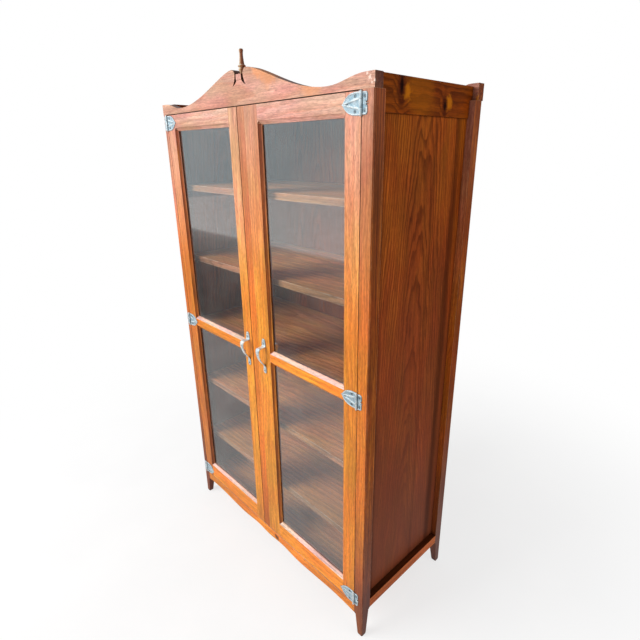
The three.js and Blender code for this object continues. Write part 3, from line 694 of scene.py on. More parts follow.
    def marked(self, wood: Socket) -> Socket:
        """Ragged marks, whose distance is multiplied by a gritty noise, and knots.

        Args:
            wood: The colour so far.

        Returns:
            The marked colour.
        """
        g, finish, cut = self.g, self.finish, self.cut
        for mark in cut.marks:
            grit = g.noise(self.place, 1.5 / mark.radius, 4.0, 0.75)
            edge = g.math("MULTIPLY_ADD", grit, 3.6 * mark.ragged, 1 - 1.9 * mark.ragged)
            gap = g.vector("DISTANCE", self.place, mark.place, output="Value")
            share = g.band(g.math("MULTIPLY", gap, edge), mark.radius * 0.4, mark.radius,
                           mark.strength, 0.0)
            wood = g.mix(share, wood, mark.colour)
        for knot, gap in zip(cut.knots, self.gaps):
            halo = g.product(g.band(gap, knot.radius * 0.9, knot.radius * 2.2, 1.0, 0.0),
                             g.band(self.streak, *self.KNOT_STREAKS))
            wood = g.mix(halo, wood, finish.late)
            core = g.band(gap, knot.radius * 0.3, knot.radius, 0.96, 0.0)
            wood = g.mix(core, wood, finish.pore)
        return wood

    def varnished(self, wood: Socket) -> Material:
        """Pale edges, painted shade in corners, the grain's relief and the varnish.

        An edge is where the normal softened over the edge's reach parts from the
        plain one; its pale colour is partly rubbed wear, partly a painted highlight.
        A corner is where little of the surroundings can be seen; painted shade darkens it.

        Args:
            wood: The colour so far.

        Returns:
            The finished material.
        """
        g, finish = self.g, self.finish
        soft = g.add("Bevel", {"Radius": finish.edge_reach}, samples=4).outputs[0]
        plain = g.add("NewGeometry").outputs["Normal"]
        agreement = g.vector("DOT_PRODUCT", soft, plain, output="Value")
        edge = g.band(agreement, *self.EDGE_TURN, 1.0, 0.0)
        # Ambient occlusion finds the corners, which painted shade will darken.
        reach = {"Distance": self.CORNER_REACH}
        hollow = g.add("AmbientOcclusion", reach, samples=4).outputs["AO"]
        handled = g.band(g.noise(self.place, self.RUB_SCALE, 4.0), 0.4, 0.6)
        # Pale edges: rubbed wear, and a painted highlight along the arrises.
        rubbed_and_lit = g.product(edge, handled, g.band(hollow, 0.4, 0.6), finish.wear_and_highlight)
        wood = g.mix(rubbed_and_lit, wood, finish.worn_and_lit)
        # Painted shade in corners, near black, broken into patches by noise.
        patchy = g.band(g.noise(self.place, self.DUST_SCALE, 3.0), 0.2, 0.6, 0.6, 1.0)
        darkening = g.product(g.band(hollow, *self.SHADED_CORNERS), patchy, finish.shade_in_corners)
        wood = g.mix(darkening, wood, CORNER_SHADE)
        relief = g.math("MULTIPLY_ADD", self.hair, 0.5, g.math("MULTIPLY", self.late, 0.3))
        relief = g.math("SUBTRACT", relief, g.math("MULTIPLY", self.pores, 0.7))
        bump = g.add("Bump", {
            "Strength": finish.relief, "Distance": self.RELIEF_DEPTH, "Height": relief,
            "Normal": soft,
        })
        gloss = g.band(self.tone, 0.2, 0.8, finish.gloss + 0.08, finish.gloss - 0.05)
        rough = g.math("MULTIPLY_ADD", g.math("MAXIMUM", self.pores, darkening), 0.25, gloss)
        return g.finish(g.add("BsdfPrincipled", {
            "Base Color": wood, "Roughness": rough, "Normal": bump.outputs[0],
            "Specular IOR Level": finish.specular, "Coat Weight": finish.coat,
            "Coat Roughness": self.COAT_ROUGHNESS,
        }))

    def material(self) -> Material:
        """Lays all layers in order.

        Returns:
            The finished material.
        """
        wood = self.ground()
        if self.finish.stain_and_shade:
            wood = self.stained_and_shaded(wood)
        return self.varnished(self.marked(self.darkened_low(self.mottled(wood))))


@dataclass(frozen=True)
class MetalFinish:
    """A plated metal, bright where it is raised and rubbed, with a painted highlight there, dull
    and dirty in its hollows.

    Attributes:
        name: What its material is called.
        rubbed_and_highlit: The colour of rubbed plating, with a painted highlight.
        dull: The colour of plating that nothing rubs.
        hollow: The colour of dirt in hollows.
        roughness: Its mean roughness.
        metallic: The share of bare metal, less than 1 because of tarnish.
        raised: How far out of the front it starts to be rubbed and highlit, and is so most.
        hollow_reach: How far away what shades a hollow may be.
        speck_depth: The depth of its pitting.
    """

    name: str
    rubbed_and_highlit: Colour
    dull: Colour
    hollow: Colour
    roughness: float
    metallic: float = 0.65
    raised: Pair = (0.0017, 0.0026)
    hollow_reach: float = 0.003
    speck_depth: float = 0.0002

    def material(self) -> Material:
        """The finish, from clouds in the plating and the shade of hollows.

        Returns:
            The material.
        """
        g = Graph.named(self.name)
        place = g.add("TexCoord").outputs["Object"]
        cloud = g.noise(place, 130.0, 4.0, 0.6)
        out = g.math("SUBTRACT", FRONT_Y, g.parts(place)[1])
        patch = g.band(g.noise(place, 48.0, 2.0), 0.36, 0.6, 0.3, 1.0)
        # Raised parts are painted bright: rubbed plating, and a painted highlight.
        rubbed_and_lit = g.product(g.band(out, *self.raised, 0.0, 0.75), patch)
        worn_and_lit = g.math("MULTIPLY_ADD", g.band(cloud, 0.35, 0.65), 0.4, rubbed_and_lit, clamp=True)
        colour = g.mix(worn_and_lit, self.dull, self.rubbed_and_highlit)
        open_share = g.add("AmbientOcclusion", {"Distance": self.hollow_reach}, samples=8)
        shut = g.band(open_share.outputs["AO"], 0.45, 0.92, 1.0, 0.0)
        colour = g.mix(g.product(shut, g.band(cloud, 0.2, 0.5, 1.0, 0.7)), colour, self.hollow)
        rough = g.band(cloud, 0.3, 0.75, self.roughness + 0.14, self.roughness - 0.05)
        specks = g.noise(place, 1100.0, 2.0)
        inputs = {"Strength": 0.15, "Distance": self.speck_depth, "Height": specks}
        return g.finish(g.add("BsdfPrincipled", {
            "Base Color": colour, "Metallic": self.metallic, "Roughness": rough,
            "Normal": g.add("Bump", inputs).outputs[0],
        }))


@dataclass(frozen=True)
class GlassFinish:
    """Old window glass, slightly wavy, with a faint film of dust and dried drops.

    Attributes:
        name: What its material is called.
        tint: The colour that it gives to what is behind it.
        dust: The colour of its film.
        index: Its index, high so that it keeps a veil of mirrored light.
        wave_depth: The depth of its waves.
        drop_heights: The heights between which dried drops grow fewer.
    """

    name: str = "pane"
    tint: Colour = (0.9, 0.93, 0.91)
    dust: Colour = srgb(196, 192, 184)
    index: float = 2.2
    wave_depth: float = 0.004
    drop_heights: Pair = (0.7, 1.0)

    def material(self) -> Material:
        """Clear glass that lets the lamps through, dusted by a soft noise.

        Returns:
            The material.
        """
        g = Graph.named(self.name)
        place = g.add("TexCoord").outputs["Object"]
        wave = g.noise(g.vector("MULTIPLY", place, (1, 1, 0.5)), 5.0, 1.0)
        inputs = {"Strength": 0.02, "Distance": self.wave_depth, "Height": wave}
        clear = g.add("BsdfPrincipled", {
            "Base Color": self.tint, "Roughness": 0.0, "IOR": self.index,
            "Transmission Weight": 1.0, "Normal": g.add("Bump", inputs).outputs[0],
        })
        film = g.add("BsdfDiffuse", {"Color": self.dust})
        smear = g.band(g.noise(place, 6.0, 5.0, 0.65), 0.35, 0.75, 0.004, 0.03)
        low = g.band(g.parts(place)[2], *self.drop_heights, 1.0, 0.3)
        drops = g.band(g.noise(place, 190.0, 3.0, 0.65), 0.54, 0.7, 0.0, 0.1)
        drops = g.product(drops, low, g.band(g.noise(place, 9.0), 0.3, 0.6))
        dusted = g.blended(g.math("ADD", smear, drops), clear, film)
        passing = g.add("BsdfTransparent", {"Color": WHITE})
        lamp = g.add("LightPath").outputs["Is Shadow Ray"]
        return g.finish(g.blended(lamp, dusted, passing))


OAK = WoodFinish(
    name="oak",
    early=srgb(234, 139, 46),
    late=srgb(172, 80, 22),
    pore=srgb(74, 32, 14),
    faded=srgb(206, 158, 142),
    worn_and_lit=srgb(236, 184, 138),
    amber=srgb(214, 124, 34),
    # On side faces: a darker varnish and painted shade in one colour.
    stain_and_shade=srgb(146, 64, 8),
    ring=0.0062,
    ring_start=0.12,
    ring_depth=0.5,
    waver=0.03,
    pore_amount=0.42,
    fade=0.85,
    ledge=0.85,
    wear_and_highlight=0.5,
    gloss=0.4,
    specular=0.3,
    coat=0.2,
    relief=0.3,
    shade_in_corners=0.6,
)
PINE = WoodFinish(
    name="pine",
    early=srgb(158, 76, 32),
    late=srgb(72, 25, 10),
    pore=srgb(34, 12, 6),
    faded=srgb(190, 102, 12),
    worn_and_lit=srgb(160, 92, 48),
    amber=srgb(196, 112, 8),
    low_tone=srgb(122, 70, 54),
    ring=0.008,
    ring_start=0.35,
    ring_depth=0.85,
    low_figure=0.5,
    waver=0.05,
    pore_amount=0.12,
    fade=0.45,
    wear_and_highlight=0.3,
    gloss=0.42,
    specular=0.12,
    relief=0.25,
)
SHELF = WoodFinish(
    name="shelf_pine",
    early=srgb(244, 164, 98),
    late=srgb(158, 88, 44),
    pore=srgb(60, 28, 14),
    faded=srgb(190, 120, 70),
    worn_and_lit=srgb(250, 224, 198),
    amber=srgb(196, 128, 50),
    # On the shelves' front faces: painted shade.
    stain_and_shade=srgb(196, 140, 108),
    front_stain_and_shade=True,
    ring=0.019,
    ring_start=0.3,
    ring_depth=0.6,
    waver=0.09,
    pore_amount=0.3,
    fade=0.1,
    # The shelves' front arrises carry a strong painted highlight.
    wear_and_highlight=4.0,
    edge_reach=0.0026,
    gloss=0.5,
    specular=0.25,
    relief=0.25,
)
NICKEL = MetalFinish("nickel", srgb(250, 255, 255), srgb(158, 186, 200), srgb(44, 54, 60), 0.26)
SCREW_STEEL = MetalFinish("screw_steel", srgb(150, 164, 172), srgb(92, 104, 112),
                          srgb(26, 30, 36), 0.38)
GLASS = GlassFinish()


def cover(thing: Thing, material: Material) -> None:
    """Gives a piece one material in place of any that it had."""
    thing.data.materials.clear()
    thing.data.materials.append(material)


def smooth_line(knots: np.ndarray, count: int) -> np.ndarray:
    """A smooth line through control points, by the Catmull-Rom cubic.

    Between two neighbours b and c, with a before and d after, the point at share f is
    half of 2b + (c - a) f + (2a - 5b + 4c - d) f squared + (3b - a - 3c + d) f cubed.

    Args:
        knots: The control points, one a row.
        count: How many points are wanted.

    Returns:
        The points, evenly spaced in the number of control points passed.
    """
    padded = np.vstack([2 * knots[0] - knots[1], knots, 2 * knots[-1] - knots[-2]])
    walk = np.linspace(0, len(knots) - 1, count)
    start = np.minimum(walk.astype(int), len(knots) - 2)
    f = (walk - start)[:, None]
    a, b, c, d = (padded[start + step] for step in range(4))
    return 0.5 * (2 * b + (c - a) * f + (2 * a - 5 * b + 4 * c - d) * f**2
                  + (3 * b - a - 3 * c + d) * f**3)


def quarter_waves(count: int) -> np.ndarray:
    """Numbers from -1 to 1, the sines of even angles, so closer together at both ends."""
    return np.sin(np.linspace(-np.pi / 2, np.pi / 2, count))


def ease(distance: np.ndarray, reach: float) -> np.ndarray:
    """A distance as a share of a reach, kept from 0 to 1."""
    return np.clip(distance / reach, 0, 1)


def ridge(distance: np.ndarray, spread: float | np.ndarray) -> np.ndarray:
    """A bell curve of a distance: 1 at none, and nearly nothing two spreads away."""
    return np.exp(-((distance / spread) ** 2))


def ring_faces(rows: int, columns: int, first: int) -> list[list[int]]:
    """The faces of a closed skin through rings of points, with both ends capped.

    Args:
        rows: The number of rings.
        columns: The points in a ring.
        first: The number of the first point.

    Returns:
        The faces as lists of point numbers.
    """
    index = first + np.arange(rows * columns).reshape(rows, columns)
    right = np.roll(index, -1, axis=1)
    quads = np.stack([index[:-1], right[:-1], right[1:], index[1:]], axis=-1).reshape(-1, 4)
    return [*quads.tolist(), index[0][::-1].tolist(), index[-1].tolist()]


def volume(points: np.ndarray) -> float:
    """Six times the volume inside a skin through rings, negative when it is inside out.

    It is the sum over the skin's triangles of the first corner times the cross
    product of the other two, with each cap as a fan from its middle.

    Args:
        points: An array of rings, points and coordinates.

    Returns:
        The signed sum.
    """
    here, below = points[:-1], points[1:]
    right, low_right = np.roll(here, -1, axis=1), np.roll(below, -1, axis=1)
    total = (here * np.cross(right, low_right)).sum() + (here * np.cross(low_right, below)).sum()
    for ring, way in ((points[0], -1), (points[-1], 1)):
        middle = ring.mean(axis=0)
        total += way * (middle * np.cross(ring, np.roll(ring, -1, axis=0))).sum()
    return float(total)


def make_mesh(name: str, points: np.ndarray, faces: list[list[int]]) -> Thing:
    """A smooth mesh object with crisp edges kept where faces turn sharply.

    Args:
        name: The piece's name.
        points: Its points, one a row.
        faces: Lists of point numbers.

    Returns:
        The object, linked to the scene.
    """
    mesh = bpy.data.meshes.new(name)
    mesh.from_pydata(points.tolist(), [], faces)
    mesh.validate()
    mesh.shade_smooth()
    mesh.set_sharp_from_angle(angle=SHARP_ANGLE)
    thing = bpy.data.objects.new(name, mesh)
    bpy.context.scene.collection.objects.link(thing)
    return thing


def skins(name: str, grids: list[np.ndarray], material: Material) -> Thing:
    """One piece from several closed skins, each an array of rings of points.

    Args:
        name: The piece's name.
        grids: The skins; one that is inside out is turned.
        material: Its finish.

    Returns:
        The mesh object.
    """
    points, faces, first = [], [], 0
    for grid in grids:
        outward = grid if volume(grid) > 0 else grid[:, ::-1]
        faces += ring_faces(*outward.shape[:2], first)
        points.append(outward.reshape(-1, 3))
        first += points[-1].shape[0]
    piece = make_mesh(name, np.vstack(points), faces)
    cover(piece, material)
    return piece


def slab(x: np.ndarray, z: np.ndarray, out: np.ndarray, back: float = 0.0) -> np.ndarray:
    """A plate whose front is a height field: each row, with its own back, is a ring.

    Args:
        x: Where the points lie to the right.
        z: Where they lie upwards.
        out: How far each stands out towards the viewer.
        back: How far the flat back stands out.

    Returns:
        The rings, facing the viewer who looks along Y.
    """
    front = np.stack([x, -out, z], axis=-1)
    rear = np.stack([x, np.full_like(out, -back), z], axis=-1)
    return np.concatenate([front, rear[:, ::-1]], axis=1)


def turning(profile: np.ndarray, centre: Place, sides: int) -> np.ndarray:
    """A turned shape: a profile of radius against height, carried round an upright axis.

    Args:
        profile: Rows of radius and height.
        centre: The foot of the axis.
        sides: The points in a ring.

    Returns:
        The rings.
    """
    angle = np.linspace(0, 2 * np.pi, sides, endpoint=False)
    radius, height = profile[:, :1], profile[:, 1:]
    return np.stack([
        centre[0] + radius * np.cos(angle),
        centre[1] + radius * np.sin(angle),
        centre[2] + height + 0 * angle,
    ], axis=-1)


def screw_head(x: float, z: float, out: float, radius: float, turn: float) -> np.ndarray:
    """A low domed screw head with a slot.

    The grid's lines run along the slot, so its edges are clean: across it the rows
    are at a times the radius, and each row is as long as the circle is there, the
    radius times the square root of 1 less a squared. The dome falls off as the
    square of the distance from the middle.

    Args:
        x: The head's middle to the right.
        z: Its middle upwards.
        out: How far its rim stands out.
        radius: Its radius.
        turn: The slot's turn.

    Returns:
        The rings.
    """
    slot = 0.14
    inner = np.array([-slot, -slot * 0.8, slot * 0.8, slot])
    along = quarter_waves(15)
    wide = 0.998 * along
    rows = np.sort(np.concatenate([wide[np.abs(wide) > slot * 1.1], inner]))
    a = np.repeat(rows[:, None], along.size, axis=1)
    b = along * np.sqrt(1 - a**2)
    dome = radius * 0.16 * (1 - a**2 - b**2) + radius * 0.05
    groove = np.where(np.abs(a) < slot * 0.9, radius * 0.2, 0.0)
    u, v = a * radius, b * radius
    turned_u = u * math.cos(turn) - v * math.sin(turn)
    turned_v = u * math.sin(turn) + v * math.cos(turn)
    return slab(x + turned_u, z + turned_v, out + dome - groove, out - radius * 0.3)


@dataclass
class Woodwork:
    """Dresses every wooden node, each with its own grain direction and stretch of log."""

    nodes: dict[str, Thing]
    seed_step: float = 0.83
    slope_spread: float = 0.2
    slope_turn: float = 2.1
    count: int = 0

    def dress(self, finish: WoodFinish, cut: Cut, *names: str) -> None:
        """Gives each named node its own material of the finish.

        The heart lies to the left and the right by turns, and the cut's slope is
        multiplied by 1 plus the spread times a sine of the node's number.

        Args:
            finish: The timber.
            cut: How the pieces were sawn, and their marks.
            names: The nodes.
        """
        for name in names:
            low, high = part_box(name)
            self.count += 1
            side = -1 if self.count % 2 else 1
            heart = (cut.heart[0] * side, cut.heart[1])
            swing = math.sin(self.count * self.slope_turn)
            slope = cut.slope * (1 + self.slope_spread * swing)
            own = replace(cut, heart=heart, slope=slope)
            seed = self.count * self.seed_step
            cover(self.nodes[name], finish.material(name, (low + high) / 2, seed, own))
            LOG.info("%s: %s, grain %s", name, finish.name, cut.grain.name)

    def dress_front(self) -> None:
        """Dresses the posts, the apron, the crest with its plinth, and the gallery."""
        post = Cut(Grain.UP, (0.05, 0.06), 0.004, (0.76, 0.67, 0.71))
        self.dress(OAK, replace(post, foot=(0.85, 1.1)), "front_left_post")
        self.dress(OAK, replace(post, foot=(0.8, 0.72)), "front_right_post")
        rear = replace(post, tint=(0.62, 0.5, 0.48), shade=1.1, foot=(0.85, 0.8))
        self.dress(OAK, rear, "rear_left_post", "rear_right_post")
        blemish = Mark((0.047, FRONT_Y, 0.097), 0.013, DARK_SPOT)
        self.dress(OAK, Cut(Grain.ACROSS, (0.02, 0.05), 0.02, marks=(blemish,)), "front_apron")
        chips = (
            Mark((0.085, FRONT_Y, 1.69), 0.045, WARM_OAK, 0.6, 0.45),
            Mark((0.127, FRONT_Y, 1.664), 0.04, WARM_OAK, 0.5, 0.45),
            Mark((0.286, FRONT_Y, 1.633), 0.05, WARM_OAK, 0.5, 0.45),
            Mark((0.468, FRONT_Y, 1.618), 0.0045, BARE_OAK),
            Mark((0.461, FRONT_Y, 1.6265), 0.0035, BARE_OAK),
            Mark((0.4815, FRONT_Y, 1.612), 0.0035, BARE_OAK),
            Mark((0.474, FRONT_Y, 1.608), 0.0025, BARE_OAK),
        )
        # The crest's sides and its top edge are painted in deep shade.
        self.dress(OAK, Cut(Grain.ACROSS, (0.02, 0.09), 0.02, (0.88, 0.94, 1.06), shaded_top=0.9,
                            shade=0.25, marks=chips), "crest_board")
        # The plinth's sides are painted in deeper shade.
        self.dress(OAK, Cut(Grain.UP, (0.02, 0.03), 0.01, (1.0, 1.16, 1.32), shade=0.4),
                   "finial_plinth")
        corner = (
            # A pale chip on the gallery's corner, which also paints the glint there.
            Mark((POST_X, 0.2, 1.637), 0.006, BARE_OAK),
            Mark((POST_X, 0.205, 1.603), 0.01, PINE.amber, 0.8, 0.5),
        )
        # The gallery's ends and top are painted in shade.
        self.dress(OAK, Cut(Grain.ACROSS, (0.01, 0.04), 0.01, (0.5, 0.38, 0.4), shaded_top=0.6,
                            shade=0.7, marks=corner), "rear_gallery_board")

    def dress_sides(self) -> None:
        """Dresses each side's panel, rail and top board with its two knots."""
        # The stripes by the posts are painted shade of the recessed panel, with thicker varnish.
        shade_stripes = (Stripe(-0.15, 0.016, 0.5), Stripe(0.158, 0.02, 0.5), Stripe(0.06, 0.012, 0.2))
        self.dress(PINE, Cut(Grain.UP, (0.07, 0.0), 0.06, foot=(0.6, 1.3), stripes=shade_stripes),
                   "left_side_panel", "right_side_panel")
        # The rails' tops, in the recess below the panels, take painted shade and dirt.
        self.dress(PINE, Cut(Grain.BACK, (0.05, 0.03), 0.01, (1.7, 2.1, 2.6), dirty_ledge=0.9),
                   "left_side_rail", "right_side_rail")
        for side in Side:
            face = side.value * SIDE_X
            knots = (Knot((face, -0.095, 1.612), 0.009), Knot((face, 0.081, 1.579), 0.007, 2.2))
            glow = (
                Mark((face, -0.076, 1.6), 0.02, PINE.amber, 0.75, 0.6),
                Mark((face, -0.02, 1.6), 0.07, PINE.amber, 0.25, 0.3),
                Mark((face, 0.097, 1.586), 0.02, PINE.amber, 0.8, 0.6),
            )
            board = Cut(Grain.BACK, (0.3, 0.12), 0.02, (0.58, 0.48, 0.2), knots=knots, marks=glow)
            self.dress(PINE, board, f"{side.word}_side_top_board")

    def dress_inside(self) -> None:
        """Dresses the back boards, the rear rail, the top, the floor and the shelves."""
        tones = (WHITE, (0.86, 0.82, 0.82), (1.1, 1.08, 1.0), (0.94, 0.9, 0.86))
        for number, tone in enumerate(tones, start=1):
            heart = (0.06 * number - 0.16, 0.05)
            self.dress(PINE, Cut(Grain.UP, heart, 0.05, tone), f"back_board_{number}")
        self.dress(PINE, Cut(Grain.ACROSS, (0.1, 0.04), 0.02), "rear_bottom_rail", "top_board")
        self.dress(SHELF, Cut(Grain.ACROSS, (0.05, 0.06), 0.05), "floor_board",
                   *(f"shelf_{number}" for number in range(1, 6)))

    def dress_door(self, side: Side) -> None:
        """Dresses one door's frame and the beads behind its panes.

        Args:
            side: The side on which the door hangs.
        """
        door = side.door.value
        # Right-facing faces of the frame take painted shade, left-facing ones less.
        stile = Cut(Grain.UP, (0.03, 0.07), 0.012, left_share=0.3)
        rail = Cut(Grain.ACROSS, (0.03, 0.07), 0.02, left_share=0.3)
        if side is Side.RIGHT:
            strip = replace(stile, tint=(0.84, 0.72, 0.7), foot=(0.3, 0.6))
            self.dress(OAK, strip, f"{door}_edge_strip")
            hung = replace(stile, tint=(0.93, 0.96, 0.95), foot=(0.25, 0.3))
        else:
            hung = replace(stile, tint=(0.84, 0.77, 0.8), foot=(0.45, 1.0))
        self.dress(OAK, hung, f"{door}_hinge_stile")
        meeting = replace(stile, tint=(0.98, 1.1, 1.15), foot=(0.25, 0.45))
        self.dress(OAK, meeting, f"{door}_meeting_stile")
        self.dress(OAK, replace(rail, tint=(1.05, 1.04, 0.98)),
                   f"{door}_bottom_rail", f"{door}_middle_rail")
        self.dress(OAK, replace(rail, tint=(0.96, 1.1, 1.36)), f"{door}_top_rail")
        self.dress(OAK, Cut(Grain.UP, (0.2, 0.1), 0.0, (0.6, 0.5, 0.5)),
                   f"{door}_lower_glass_bead", f"{door}_upper_glass_bead")

    def build(self) -> None:
        """Dresses the case from the front inwards, then both doors."""
        self.dress_front()
        self.dress_sides()
        self.dress_inside()
        for side in Side:
            self.dress_door(side)


@dataclass
class Finial:
    """The turned finial on the plinth between the crest's lobes."""

    radius: float = 0.011
    height: float = 0.0625
    dowel_radius: float = 0.004
    dowel_length: float = 0.010
    seed: float = 7.7
    profile: tuple[Pair, ...] = (
        (0.5, 0.0), (0.52, 0.05), (0.64, 0.1), (0.8, 0.155), (0.86, 0.205), (0.72, 0.242),
        (0.7, 0.262), (0.92, 0.292), (0.99, 0.318), (0.93, 0.345), (0.74, 0.372), (0.64, 0.405),
        (0.58, 0.46), (0.53, 0.54), (0.46, 0.67), (0.44, 0.8), (0.48, 0.87), (0.54, 0.93),
        (0.46, 0.975), (0.22, 0.997), (0.01, 1.0),
    )

    def build(self) -> None:
        """Turns the finial from its profile, with its dowel, and stands it on the plinth."""
        low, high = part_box("finial_plinth")
        centre = (low + high) / 2
        scale = np.array([self.radius, self.height])
        curve = smooth_line(np.array(self.profile), 150) * scale
        dowel = np.array([
            [0.0004, -self.dowel_length],
            [self.dowel_radius, -self.dowel_length],
            [self.dowel_radius, -0.0001],
        ])
        grid = turning(np.vstack([dowel, curve]), (centre.x, centre.y, high.z), 64)
        # Only the finial's right side takes the stain: painted shade away from the light.
        cut = Cut(Grain.UP, (0.015, 0.02), 0.01, (0.78, 1.08, 1.0), left_share=0.0)
        oak = OAK.material("turned_finial", centre, self.seed, cut)
        piece = skins("turned_finial", [grid], oak)
        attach(piece, Body.CARCASE.value)
        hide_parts("finial")
        LOG.info("turned_finial: %d points round its profile", len(curve))


def mount(name: str, grids: list[np.ndarray], body: Body, node: str | None,
          finish: Material) -> None:
    """Makes one metal piece and joins it to its body.

    Args:
        name: The piece's name.
        grids: Its closed skins.
        body: The body that it rides on.
        node: The solid that it stands for, if any.
        finish: Its material.
    """
    piece = skins(name, grids, finish)
    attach(piece, body.value)
    if node:
        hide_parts(node)
    LOG.info("%s: rides on %s", name, body.value)


@dataclass
class Hinge:
    """One surface hinge: an arched leaf on the door and a two-lobed leaf on the post."""

    side: Side
    place: str
    leaf: float = 0.0018
    leaf_length: float = 0.060
    leaf_half: float = 0.024
    arch_power: float = 3.8
    arch_end: float = 0.955
    nib_start: float = 0.93
    rim: float = 0.0009
    rib: float = 0.0012
    trough: float = 0.0006
    eased_edge: float = 0.0007
    post_length: float = 0.0200
    post_half: float = 0.023
    lobe_corner: float = 0.006
    notch_half: float = 0.0046
    notch_depth: float = 0.0035
    tongue_half: float = 0.0052
    barrel_radius: float = 0.0032
    barrel_half: float = 0.024
    barrel_clear: float = 0.0003
    centre_half: float = 0.008
    knuckle_gap: float = 0.0005
    pin_radius: float = 0.0024
    pin_dome: float = 0.0017
    screw_radius: float = 0.0036
    screw_out: float = 0.0019
    door_screws: tuple[Pair, ...] = ((0.0180, 0.0154), (0.0180, -0.0154), (0.0438, 0.0))
    post_screws: tuple[Pair, ...] = ((0.0098, 0.0140), (0.0098, -0.0140))

    def locate(self) -> Place:
        """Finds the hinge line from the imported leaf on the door.

        Returns:
            The middle of its barrel.
        """
        low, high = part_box(f"{self.side.word}_hinge_{self.place}_door_leaf")
        edge = high.x if self.side is Side.RIGHT else low.x
        return (
            edge - self.side.value * self.barrel_radius,
            FRONT_Y - self.barrel_radius - self.barrel_clear,
            (low.z + high.z) / 2,
        )

    def to_case(self, grid: np.ndarray, towards: int) -> np.ndarray:
        """Moves a grid from the hinge's own frame to its place on the case.

        Args:
            grid: Points whose X runs away from the barrel.
            towards: The side of the barrel on which the leaf lies.

        Returns:
            The points in the part's frame.
        """
        x, _, z = self.locate()
        return grid * np.array([towards, 1, 1]) + np.array([x, FRONT_Y, z])

    def plate(self, x: np.ndarray, z: np.ndarray, lip: np.ndarray,
              relief: np.ndarray) -> np.ndarray:
        """A leaf with an eased edge: its thickness grows as the root of the lip.

        Args:
            x: Where the points lie from the barrel.
            z: Where they lie upwards.
            lip: How far in from the outline, from 0 to 1.
            relief: What stands on the flat.

        Returns:
            The rings.
        """
        return slab(x, z, (self.leaf - 0.0005) * lip**0.5 + relief + 0.0004)

    def door_grid(self) -> np.ndarray:
        """The leaf on the door.

        Its half height at share u of its length is the full one times 1 less u, over
        where the arch ends, to a power, and past the last of the arch a small straight
        point. On the flat there stand a rim, a bell curve of the distance in from the
        outline, and two ribs, bell curves about lines that meet near the point.

        Returns:
            The rings, with the barrel at X of zero.
        """
        u = np.sin(np.linspace(0, np.pi / 2, 80))[:, None] * 0.9985
        v = quarter_waves(73)[None, :]
        last = 1 - (self.nib_start / self.arch_end) ** self.arch_power
        arch = 1 - np.minimum(u / self.arch_end, 1) ** self.arch_power
        nib = last * (1 - u) / (1 - self.nib_start)
        half = self.leaf_half * np.where(u < self.nib_start, arch, nib)
        x = self.leaf_length * u + 0 * v
        z = half * v
        steep = np.clip(1 - np.abs(z) / self.leaf_half, 0, 1) ** (1 / self.arch_power)
        ahead = self.leaf_length * self.arch_end * steep - x
        inward = np.minimum(half - np.abs(z), np.maximum(ahead, 0))
        rim = self.rim * ridge(inward - 0.0024, 0.0015)
        line = 0.0112 * (1 - np.clip(u, 0, 0.88) / 0.88) ** 0.9
        start, end = ease(x - 0.005, 0.003), ease(0.054 - x, 0.004)
        rib = ridge(np.abs(z) - line, 0.0026 - 0.0012 * u) * start * end
        sunk = self.trough * ridge(z, np.maximum(line * 0.6, 0.0006)) * start * end
        lip = ease(half - np.abs(z), self.eased_edge)
        return self.plate(x, z, lip, rim + self.rib * rib - sunk)

    def post_grid(self) -> np.ndarray:
        """The leaf on the post.

        Its outline stands at X against height: two lobes with rounded corners, a
        notch between them, and a small raised tongue that comes out of the notch.

        Returns:
            The rings, with the barrel at X of zero.
        """
        v = quarter_waves(97)[:, None]
        across = np.linspace(0, 1, 30)[None, :]
        tall = np.abs(v) * self.post_half
        lobe = self.post_length * 0.86
        corner = ease(tall - self.post_half + self.lobe_corner, self.lobe_corner)
        notch = ease(self.notch_half - tall, 0.0018)
        edge = lobe - self.lobe_corner * (1 - np.sqrt(1 - 0.998 * corner**2))
        edge = edge - self.notch_depth * notch
        edge = np.maximum(edge, self.post_length * (1 - tall / self.tongue_half))
        x = edge * across
        z = v * self.post_half + 0 * across
        inward = np.minimum(edge - x, self.post_half - np.abs(z))
        rim = self.rim * ridge(inward - 0.0022, 0.0014)
        seam = self.trough * ridge(np.abs(z) - self.notch_half, 0.0008) * ease(x, 0.01)
        curl = self.rib * ridge(tall, 0.0026) * ease(x - 0.011, 0.004)
        return self.plate(x, z, ease(inward, self.eased_edge), rim - seam + curl)

    def knuckle(self, low: float, high: float) -> np.ndarray:
        """A knuckle of the barrel, with its ends eased.

        Args:
            low: Its lower end, from the barrel's middle.
            high: Its upper end.

        Returns:
            The rings in the part's frame.
        """
        r, round_end = self.barrel_radius, 0.0005
        near = round_end * 0.3
        profile = np.array([
            [r * 0.4, low], [r - round_end, low], [r - near, low + near], [r, low + round_end],
            [r, high - round_end], [r - near, high - near], [r - round_end, high],
            [r * 0.4, high],
        ])
        return turning(profile, self.locate(), 32)

    def pin_head(self, way: int) -> np.ndarray:
        """The domed head of the pin at one end of the barrel.

        Args:
            way: 1 for the upper end and -1 for the lower.

        Returns:
            The rings in the part's frame.
        """
        angle = np.linspace(0, np.pi / 2 * 0.98, 9)
        radius = np.concatenate([[self.pin_radius], (self.pin_radius + 0.0003) * np.cos(angle)])
        height = np.concatenate([[0.0], 0.0004 + self.pin_dome * np.sin(angle)])
        profile = np.stack([radius, way * (self.barrel_half + height)], axis=-1)
        return turning(profile, self.locate(), 24)

